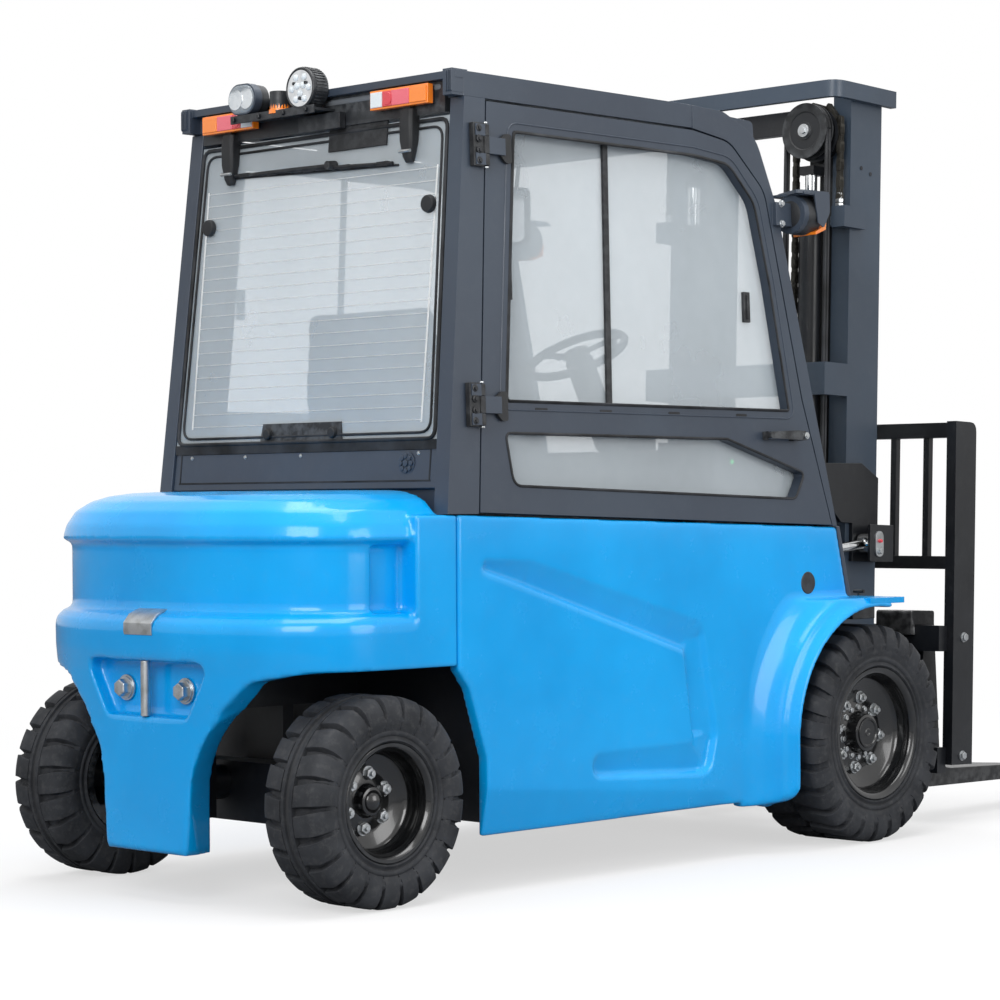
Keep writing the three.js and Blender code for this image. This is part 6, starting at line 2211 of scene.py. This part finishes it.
    @staticmethod
    def oval(radius: float) -> list[Point]:
        """Points round two touching circles.

        Args:
            radius: radius of each circle.

        Returns:
            The points.
        """
        points = []
        for k in range(36):
            turn = math.tau * k / 36
            points.append((252 + radius * math.cos(turn), 2330 + radius * math.sin(turn),
                           16 * math.copysign(1, math.cos(turn))))
        return points

    def brackets(self) -> None:
        """The lamp shelf's folded edge, the centre plate, the fins of the roof's caps and bolts."""
        shop = self.shop
        form = Form().box((-1856, -1849), (-72, 302), (2258, 2282)).box((-1796, -1772), (-120, 60),
                                                                        (2214, 2262))
        shop.piece("lamp_shelf_edge", form, self.space, LAMP_SHELL, "chassis", 1.5)
        caps = Form()
        for sign in (-1, 1):
            for k in range(4):
                y = sign * (572 + 7 * k)
                low, high = sorted((y, y + sign * 4))
                caps.prism("y", [(-1806, 2270, 6), (-1806, 2334, 8), (-1744, 2336.5, 8), (-1744, 2270, 6)],
                           low, high, steps=3)
        shop.piece("roof_cap_fins", caps, self.space, CAB_GREY, "chassis", 1.0)
        bolts = [((self.face(2238) + 3, y, 2240), (-1, 0, 0), 0.6) for y in (-300, -180, 180, 340)]
        bolts += [((-1856, y, 2270), (-1, 0, 0), 0.7) for y in (-40, 60, 170, 285)]
        shop.fasteners("lamp_bar_bolts", bolts, Form().hexagon((0, 0, 0), (0, 1, 0), 18, 10), self.space,
                       FRAME_BLACK, "chassis")

    def low_panel(self) -> None:
        """The panel under the glass: its grooves as black strips of painted shade, its screws and round
        vent.
        """
        shop = self.shop
        # The grooves are drawn as thin black strips that stand for the shade in them: painted shade.
        lines = Form()
        for z, inset in ((1172, 26), (1262, 26)):
            x = pillar_rear(z) + 8
            lines.box((x - 1.2, x + 2), (-self.half(z) + inset, self.half(z) - inset), (z - 2.5, z + 2.5))
        for sign in (-1, 1):
            y = sign * (self.half(1200) - 30)
            lines.loft([[(pillar_rear(z) + 6.8, y - 2.5, z), (pillar_rear(z) + 6.8, y + 2.5, z),
                         (pillar_rear(z) + 10, y + 2.5, z),
                         (pillar_rear(z) + 10, y - 2.5, z)] for z in (1172, 1262)])
        shop.piece("rear_panel_grooves", lines, self.space, SEAL_AND_SHADE_BLACK, "chassis")
        z = 1222
        x = pillar_rear(z) + 8
        vent = Form().lathe([(0, 0), (33, 0), (33, 3), (0, 4)], 32,
                            place=turned((x, -455, z), 90, "Z"))
        for k in range(8):
            turn = math.tau * k / 8
            vent.rod((x - 3, -455 + 21 * math.cos(turn), z + 21 * math.sin(turn)),
                     (x - 8, -455 + 21 * math.cos(turn), z + 21 * math.sin(turn)), 7, 14)
        vent.rod((x - 3, -455, z), (x - 9, -455, z), 9, 18)
        shop.piece("rear_panel_vent", vent, self.space, CAB_GREY, "chassis", 0.8)
        screws = [((pillar_rear(1250) + 8, y, 1250), (-1, 0, 0), 0.6) for y in (-500, 0, 250, 500)]
        shop.fasteners("rear_panel_screws", screws, Form().hexagon((0, 0, 0), (0, 1, 0), 14, 6),
                       self.space, ZINC, "chassis")

    def build(self) -> None:
        """Builds the cab's rear."""
        self.window()
        self.wiper()
        self.tail_lamps()
        self.work_lamps()
        self.brackets()
        self.low_panel()


# ------------------------------------------------------------------------------------------------ mast


@dataclass
class MastSide:
    """The chain, cylinder details and fittings of one side of the mast."""

    shop: Workshop
    side: Side
    space: Matrix = field(init=False)
    flat: Matrix = field(init=False)
    sheave: tuple = (207.0, 287.0, 2016.0)
    chain_radius: float = 94.0
    anchor_w: float = 1765.4
    lug_w: float = 345.4
    pitch: float = 25.4

    def __post_init__(self) -> None:
        """Takes its frames from the shop."""
        self.space = self.shop.spaces.mast @ self.side.mirror
        # Chains and hoses are drawn flat, with X as the mast's y, Y as its w and Z as its u.
        self.flat = self.space @ Matrix(((0, 0, 1, 0), (1, 0, 0, 0), (0, 1, 0, 0), (0, 0, 0, 1)))

    def link(self) -> Form:
        """Two pitches of leaf chain: plates in turn on two pins.

        Returns:
            The shape.
        """
        form = Form()
        for start, levels in ((0.0, (-9.0, -3.0, 3.0, 9.0)), (self.pitch, (-6.0, 0.0, 6.0))):
            for level in levels:
                ends = [(start - 9, -9, 8), (start + self.pitch + 9, -9, 8), (start + self.pitch + 9, 9, 8),
                        (start - 9, 9, 8)]
                form.prism("z", ends, level - 1.2, level + 1.2, steps=4)
            form.rod((start, 0, -11), (start, 0, 11), 4.5, 10)
        return form

    def run(self, name: str, path: Sequence[Point], bodies: tuple[str, ...]) -> None:
        """Publishes a stretch of chain that rides on one body, or has its placement baked in and no body
        when it goes with two.

        Args:
            name: name of the piece.
            path: points along its middle.
            bodies: the body, or the two bodies, it goes with.
        """
        shop = self.shop
        made = shop.links(f"{name}_{self.side.name}", self.link(), path, self.pitch * 2, self.flat,
                          CHAIN_STEEL)
        shop.strung(made, CHAIN_STEEL, bodies, self.flat @ Vector(path[0]), self.flat @ Vector(path[-1]))

    def chain(self) -> None:
        """The chain from the outer mast's anchor over the sheave to the carriage."""
        u, y, w = self.sheave
        r = self.chain_radius
        self.run("chain_anchor_run", [(-y - r, self.anchor_w + 10, u), (-y - r, w, u)],
                 ("mast", "inner_stage"))
        wrap = [(-y + r * math.cos(t), w + r * math.sin(t),
                 u) for t in (math.pi * (24 - k) / 24 for k in range(25))]
        self.run("chain_wrap", wrap, ("inner_stage",))
        self.run("chain_front_run", [(-y + r, w, u), (-y + r, self.lug_w + 4, u)],
                 ("inner_stage", "carriage"))
        sheave = Form().lathe([(18, -14), (93, -14), (93, -10.5), (84.5, -10.5), (84.5, 10.5), (93, 10.5),
                               (93, 14), (18, 14)], 48, loop=True,
                              place=turned((u, -y, w), -90, "Z"))
        self.shop.piece(f"chain_sheave_{self.side.name}", sheave, self.space, FRAME_BLACK, "inner_stage")
        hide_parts(f"chain_{self.side.name}")
        anchor = Form().rod((u, -y - r, self.anchor_w - 4), (u, -y - r, self.anchor_w + 46), 9, 16)
        for low in (0, 14):
            anchor.rod((u, -y - r, self.anchor_w + low), (u, -y - r, self.anchor_w + low + 11), 15, 6)
        self.shop.piece(f"chain_anchor_{self.side.name}", anchor, self.space, ZINC, "mast", 0.8)

    def fittings(self) -> None:
        """Bolts, nipples and keepers on the mast, the tilt cylinder and the backrest."""
        shop, t = self.shop, self.side.name
        truck = shop.spaces.side(self.side)
        # Two holes in the rail are drawn as thin black discs that stand for the shade in them: painted
        # shade.
        dots = [((u, -400.6, w), (0, -1, 0), 1.0) for u, w in ((300, 1905), (352, 1890))]
        shop.fasteners(f"rail_holes_{t}", dots, Form().rod((0, 0, 0), (0, 1.2, 0), 7, 16), self.space,
                       SEAL_AND_SHADE_BLACK, "mast")
        low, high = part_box(f"tilt_bracket_{t}")
        out = max(abs(low.y), abs(high.y)) / MM
        keeper = Form().prism("y", [(330 - 22, 965 - 46, 22), (330 + 22, 965 - 46, 22),
                                    (330 + 22, 965 + 40, 22), (330 - 22, 965 + 40, 22)], -out - 5,
                                    -out + 1, steps=5)
        shop.piece(f"tilt_pin_keeper_{t}", keeper, truck, ZINC, "mast", 1.0)
        # The grease nipple takes the red lamp-lens finish, whose faint glow is painted light here, as the
        # nipple is no lamp.
        nipple = Form().rod((330, -out - 4, 972), (330, -out - 14, 972), 7, 16, 0.8)
        shop.piece(f"tilt_pin_nipple_{t}", nipple, truck, RED, "mast")
        heads = [((330, -out - 5, 938), (0, -1, 0), 1.0)]
        shop.fasteners(f"tilt_keeper_bolt_{t}", heads, Form().hexagon((0, 0, 0), (0, 1, 0), 17, 10), truck,
                       ZINC, "mast")
        gland = Form().rod((200, -262, 1712), (200, -262, 1744), 43, 32, bore=23.5)
        shop.piece(f"lift_gland_{t}", gland, self.space, FRAME_BLACK, "mast", 1.5)
        low, _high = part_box("backrest")
        x = (low.x + 0.06) / MM - shop.spaces.shift / MM
        post = [((x + (z - 229) * 0.035, -600.2, z), (0, -1, 0), 1.0) for z in (229, 636)]
        shop.fasteners(f"backrest_bolts_{t}", post, Form().hexagon((0, 0, 0), (0, 1, 0), 24, 13), truck,
                       ZINC, "carriage")
        step = Form().box((84, 206), (-566, -452), (716, 768)).box((74, 216), (-576, -446), (764, 773))
        shop.piece(f"step_box_{t}", step, truck, PLASTIC, "chassis", 3.0)
        pin = Form().rod((180, -520, 770), (180, -520, 806), 5, 14).rod((180, -541, 806), (180, -499, 806),
                                                                        5.5, 14)
        shop.piece(f"step_pin_{t}", pin, truck, PLASTIC, "chassis")

    def build(self) -> None:
        """Builds this side of the mast."""
        self.chain()
        self.fittings()


def mast_sides(shop: Workshop) -> Batch:
    """Both sides of the mast."""
    return Batch([MastSide(shop, side) for side in Side])


@dataclass
class Hoses:
    """The pair of hoses over their wheel, and the hoses that come up behind the mast."""

    shop: Workshop
    flat: Matrix = field(init=False)
    space: Matrix = field(init=False)
    wheel: tuple = (168.0, 270.0, 2027.0)
    run_radius: float = 87.4
    low_w: float = 300.0
    lug_w: float = 345.4

    def __post_init__(self) -> None:
        """Takes its frames from the shop."""
        self.flat = MastSide(self.shop, Side.R).flat
        self.space = self.shop.spaces.mast

    def build(self) -> None:
        """Builds the hoses and their wheel."""
        shop = self.shop
        u, y, w = self.wheel
        r = self.run_radius
        turns = [math.pi * (24 - k) / 24 for k in range(25)]
        wrap = [(-y + r * math.cos(t), w + r * math.sin(t)) for t in turns]
        rows = (("hoses_rear_run", [(-y - r, self.low_w),
                                    *[(-y - r, self.low_w + k * 60) for k in range(1, 28)], (-y - r, w)],
                                    ("mast", "inner_stage")),
                ("hoses_wrap", wrap, ("inner_stage",)),
                ("hoses_front_run", [(-y + r, w), *[(-y + r, w - k * 60) for k in range(1, 28)],
                                     (-y + r, self.lug_w)],
                 ("inner_stage", "carriage")))
        for name, path, bodies in rows:
            form = Form()
            for side in (-7, 7):
                form.tube([(a, b, u + side) for a, b in path], 6.6, 12)
            made = shop.mesh(name, form, self.flat)
            made.data.shade_smooth()
            shop.strung(made, HOSE, bodies, self.flat @ Vector((*path[0], u)),
                        self.flat @ Vector((*path[-1], u)))
        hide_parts("mast_hoses")
        turn = turned((u, -y, w), -90, "Z")
        wheel = Form().lathe([(16, -20), (30, -20), (34, -14), (58, -14), (66, -20), (95, -20),
                              (95, -15.5), (80, -15.5), (80, 15.5), (95, 15.5), (95, 20), (16, 20)], 56,
                              loop=True, place=turn)
        shop.piece("hose_wheel", wheel, self.space, PLASTIC, "inner_stage")
        hub = Form().rod((u - 18, -y, w), (u - 27, -y, w), 24, 28, 0.94).rod((u - 26, -y, w),
                                                                             (u - 33, -y, w), 13, 6)
        shop.piece("hose_wheel_bolt", hub, self.space, ZINC, "inner_stage", 1.0)


# ---------------------------------------------------------------------------------------------- inside


@dataclass
class Interior:
    """The driver's place: cushions, levers, consoles, mirror and lining."""

    shop: Workshop
    space: Matrix = field(init=False)

    def __post_init__(self) -> None:
        """Takes its frames from the shop."""
        self.space = self.shop.spaces.truck

    def cushion(self, node: str, seams: Sequence[Sequence[Point]]) -> None:
        """A cushion blown up a little like stuffed vinyl inside the CAD cushion's own shape.

        Args:
            node: the CAD cushion that it stands for.
            seams: lines that the piping follows.
        """
        shop = self.shop
        source = FRAME_NODES[node]
        made = bpy.data.objects.new(f"{node}_cover", source.data.copy())
        bpy.context.scene.collection.objects.link(made)
        low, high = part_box(node)
        work = bmesh.new()
        work.from_mesh(made.data)
        bmesh.ops.remove_doubles(work, verts=work.verts, dist=MERGE_M * 2)
        work.to_mesh(made.data)
        work.free()
        shop.cast(made, 6.0, 6)
        soft = made.modifiers.new("Soft", "CLOTH")
        soft.settings.use_pressure, soft.settings.uniform_pressure_force = True, 4.0
        soft.settings.effector_weights.gravity = 0.0
        soft.settings.tension_stiffness = soft.settings.compression_stiffness = 40
        soft.point_cache.frame_start, soft.point_cache.frame_end = 1, 20
        before = np.empty(len(made.data.vertices) * 3)
        made.data.vertices.foreach_get("co", before)
        for frame in range(1, 21):
            bpy.context.scene.frame_set(frame)
        shop.applied(made)
        bpy.context.scene.frame_set(1)
        after = np.empty(len(before))
        made.data.vertices.foreach_get("co", after)
        step = (after - before).reshape(-1, 3)
        size = np.linalg.norm(step, axis=1, keepdims=True)
        cap = 0.006
        step *= np.minimum(1.0, cap / np.maximum(size, 1e-9))
        spots = before.reshape(-1, 3) + step
        spots = np.clip(spots, np.array(low) - 0.004, np.array(high) + 0.004)
        made.data.vertices.foreach_set("co", spots.ravel())
        made.data.update()
        shop.dress(made, VINYL, "chassis", smooth=80, replaces=(node,))
        piping = Form()
        for path in seams:
            piping.tube(path, 3.2, 8)
        shop.piece(f"{node}_piping", piping, self.space, SEAL_AND_SHADE_BLACK, "chassis")

    def seat(self) -> None:
        """The seat's cushions with their piping."""
        (low, high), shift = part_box("seat_cushion"), self.shop.spaces.shift
        x0, x1 = (low.x - shift) / MM, (high.x - shift) / MM
        y0, y1, top = low.y / MM, high.y / MM, high.z / MM
        self.cushion("seat_cushion", [[(x0 + 40, y, top + 1), (x1 - 40, y, top + 1)] for y in (y0 + 90,
                                                                                               y1 - 90)])
        low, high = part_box("seat_back")
        z0, z1 = low.z / MM, high.z / MM
        x = (high.x - shift) / MM
        self.cushion("seat_back", [[(x - 4, y, z0 + 60), (x - 52, y, z1 - 60)] for y in (low.y / MM + 90,
                                                                                         high.y / MM - 90)])

    def controls(self) -> None:
        """Levers, display and consoles round the dashboard."""
        shop, space = self.shop, self.space
        levers, knobs = Form(), Form()
        for k in range(4):
            y = -222 - 34 * k
            levers.rod((-420, y, 1296), (-452, y, 1392), 5, 12)
            knobs.lathe([(0, -18), (12, -14), (15, 0), (11, 14), (0, 18)], 18,
                        place=turned((-455, y, 1402), 90, "X"))
        shop.piece("hydraulic_levers", levers, space, CHROME, "chassis")
        shop.piece("hydraulic_knobs", knobs, space, PLASTIC, "chassis")
        display = Form().box((-398, -330), (-70, 90), (1280, 1390))
        display.box((-402, -396), (-60, 80), (1290, 1380))
        shop.piece("display", display, space, PLASTIC, "chassis", 5.0)
        console = Form()
        for sign in (-1, 1):
            low, high = sorted((sign * 560, sign * 585))
            console.box((-640, -300), (low, high), (1110, 1296))
            low, high = sorted((sign * 480, sign * 572))
            console.box((-1560, -700), (low, high), (1050, 1110))
        shop.piece("side_consoles", console, space, LINING, "chassis", 6.0)
        stalk = Form().rod((-600, 20, 1560), (-560, 150, 1590), 6, 12).rod((-560, 150, 1590),
                                                                           (-556, 178, 1596), 11, 16)
        shop.piece("direction_lever", stalk, space, PLASTIC, "chassis")

    def lining(self) -> None:
        """The roof's lining and the mirror with its arm and glass."""
        shop, space = self.shop, self.space
        shop.piece("roof_lining", Form().box((-1770, -620), (-520, 520), (2284, 2306)), space, LINING,
                   "chassis", 8.0)
        mirror = Form().prism("x", [(300, 1980, 30), (430, 1980, 30), (430, 2170, 30), (300, 2170, 30)],
                              -560, -540)
        shop.piece("cab_mirror", mirror, space, PLASTIC, "chassis", 4.0)
        shop.piece("mirror_arm", Form().tube([(-545, 365, 2140), (-530, 365, 2240), (-560, 330, 2286)], 7,
                                             10), space,
                   PLASTIC, "chassis")
        shop.piece("mirror_glass", Form().prism("x", [(308, 1988, 24), (422, 1988, 24), (422, 2162, 24),
                                                      (308, 2162, 24)], -563, -560.5), space, REFLECTOR,
                                                      "chassis")

    def build(self) -> None:
        """Builds the inside of the cab."""
        self.seat()
        self.controls()
        self.lining()


PARTS: tuple = (Counterweight, panels, cab_sides, CabRear, mast_sides, Hoses, Interior)


# ------------------------------------------------------------------------------------------- the truck


@dataclass(frozen=True)
class Carried:
    """A CAD node whose shape is right, kept with rounded edges and a finish."""

    node: str
    finish: Finish
    body: str
    bevel: float = 3.0
    smooth: float = 32.0


def carried() -> list[Carried]:
    """The CAD nodes that keep their shapes.

    Returns:
        Each node with its finish and body.
    """
    both = ("R", "L")
    rows = [
        Carried("chassis_frame", FRAME_BLACK, "chassis", 2.0),
        Carried("battery_block", FRAME_BLACK, "chassis", 4.0),
        Carried("cab_floor", FRAME_BLACK, "chassis", 2.0),
        Carried("drive_axle", FRAME_BLACK, "chassis", 2.0),
        Carried("steer_axle", FRAME_BLACK, "chassis", 2.0), Carried("dashboard", PLASTIC, "chassis", 8.0),
        Carried("steering_column", PLASTIC, "chassis", 4.0), Carried("seat_base", PLASTIC, "chassis", 5.0),
        Carried("tow_pin", ZINC, "chassis", 2.0),
        Carried("steering_wheel", PLASTIC, "steering_wheel", 0.0, 60.0),
        Carried("roof", CAB_GREY, "chassis", 5.0), Carried("rear_wall", CAB_GREY, "chassis", 4.0),
        Carried("rear_window", CLEAR, "chassis", 1.0), Carried("windscreen", CLEAR, "chassis", 1.0),
        Carried("rear_lamp_bar", LAMP_SHELL, "chassis", 2.0),
        Carried("outer_mast", MAST_BLACK_LIT, "mast", 2.5),
        Carried("inner_mast", FRAME_BLACK, "inner_stage", 2.0),
        Carried("carriage", FRAME_BLACK, "carriage", 2.5), Carried("backrest", FRAME_BLACK, "carriage", 3.0),
    ]
    for t in both:
        rows += [
            Carried(f"front_pillar_{t}", CAB_GREY, "chassis", 9.0),
            Carried(f"rear_pillar_{t}", CAB_GREY, "chassis", 6.0),
            Carried(f"door_{t}", CAB_GREY, f"door_{t}", 6.0),
            Carried(f"door_glass_{t}", CLEAR, f"door_{t}", 1.0),
            Carried(f"knuckle_{t}", FRAME_BLACK, f"knuckle_{t}", 2.0),
            Carried(f"tilt_bracket_{t}", FRAME_BLACK, "mast", 2.5),
            Carried(f"lift_barrel_{t}", FRAME_BLACK, "mast", 1.0),
            Carried(f"lift_rod_{t}", CHROME, "inner_stage", 1.0),
            Carried(f"fork_{t}", FORK_STEEL, "carriage", 3.0),
            Carried(f"tilt_barrel_{t}", FRAME_BLACK, f"tilt_barrel_{t}", 1.0),
            Carried(f"tilt_rod_{t}", CHROME, f"tilt_rod_{t}", 1.0),
        ]
    return rows


def main() -> None:
    """Loads the frame, builds every sub-assembly in order, and reports each piece."""
    logging.basicConfig(level=logging.INFO, format="%(name)s: %(message)s")
    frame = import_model()
    FRAME_NODES.update(frame["nodes"])
    low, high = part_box("front_tyre_R")
    spaces = Spaces(shift=(low.x + high.x) / 2)
    shop = Workshop(spaces)
    Studio().build(spaces)
    for item in carried():
        if item.node in FRAME_NODES:
            shop.refined(item.node, item.finish, item.body, item.bevel, item.smooth)
    for wheel in wheels(shop):
        wheel.build()
    for part in PARTS:
        part(shop).build()
    for node, obj in FRAME_NODES.items():
        if not obj.hide_render:
            LOG.info("CAD node %s is still showing", node)
            obj.data.materials.clear()
            obj.data.materials.append(shop.material(FRAME_BLACK))
    LOG.info("%d pieces", len(shop.made))


if __name__ == "__main__":
    main()
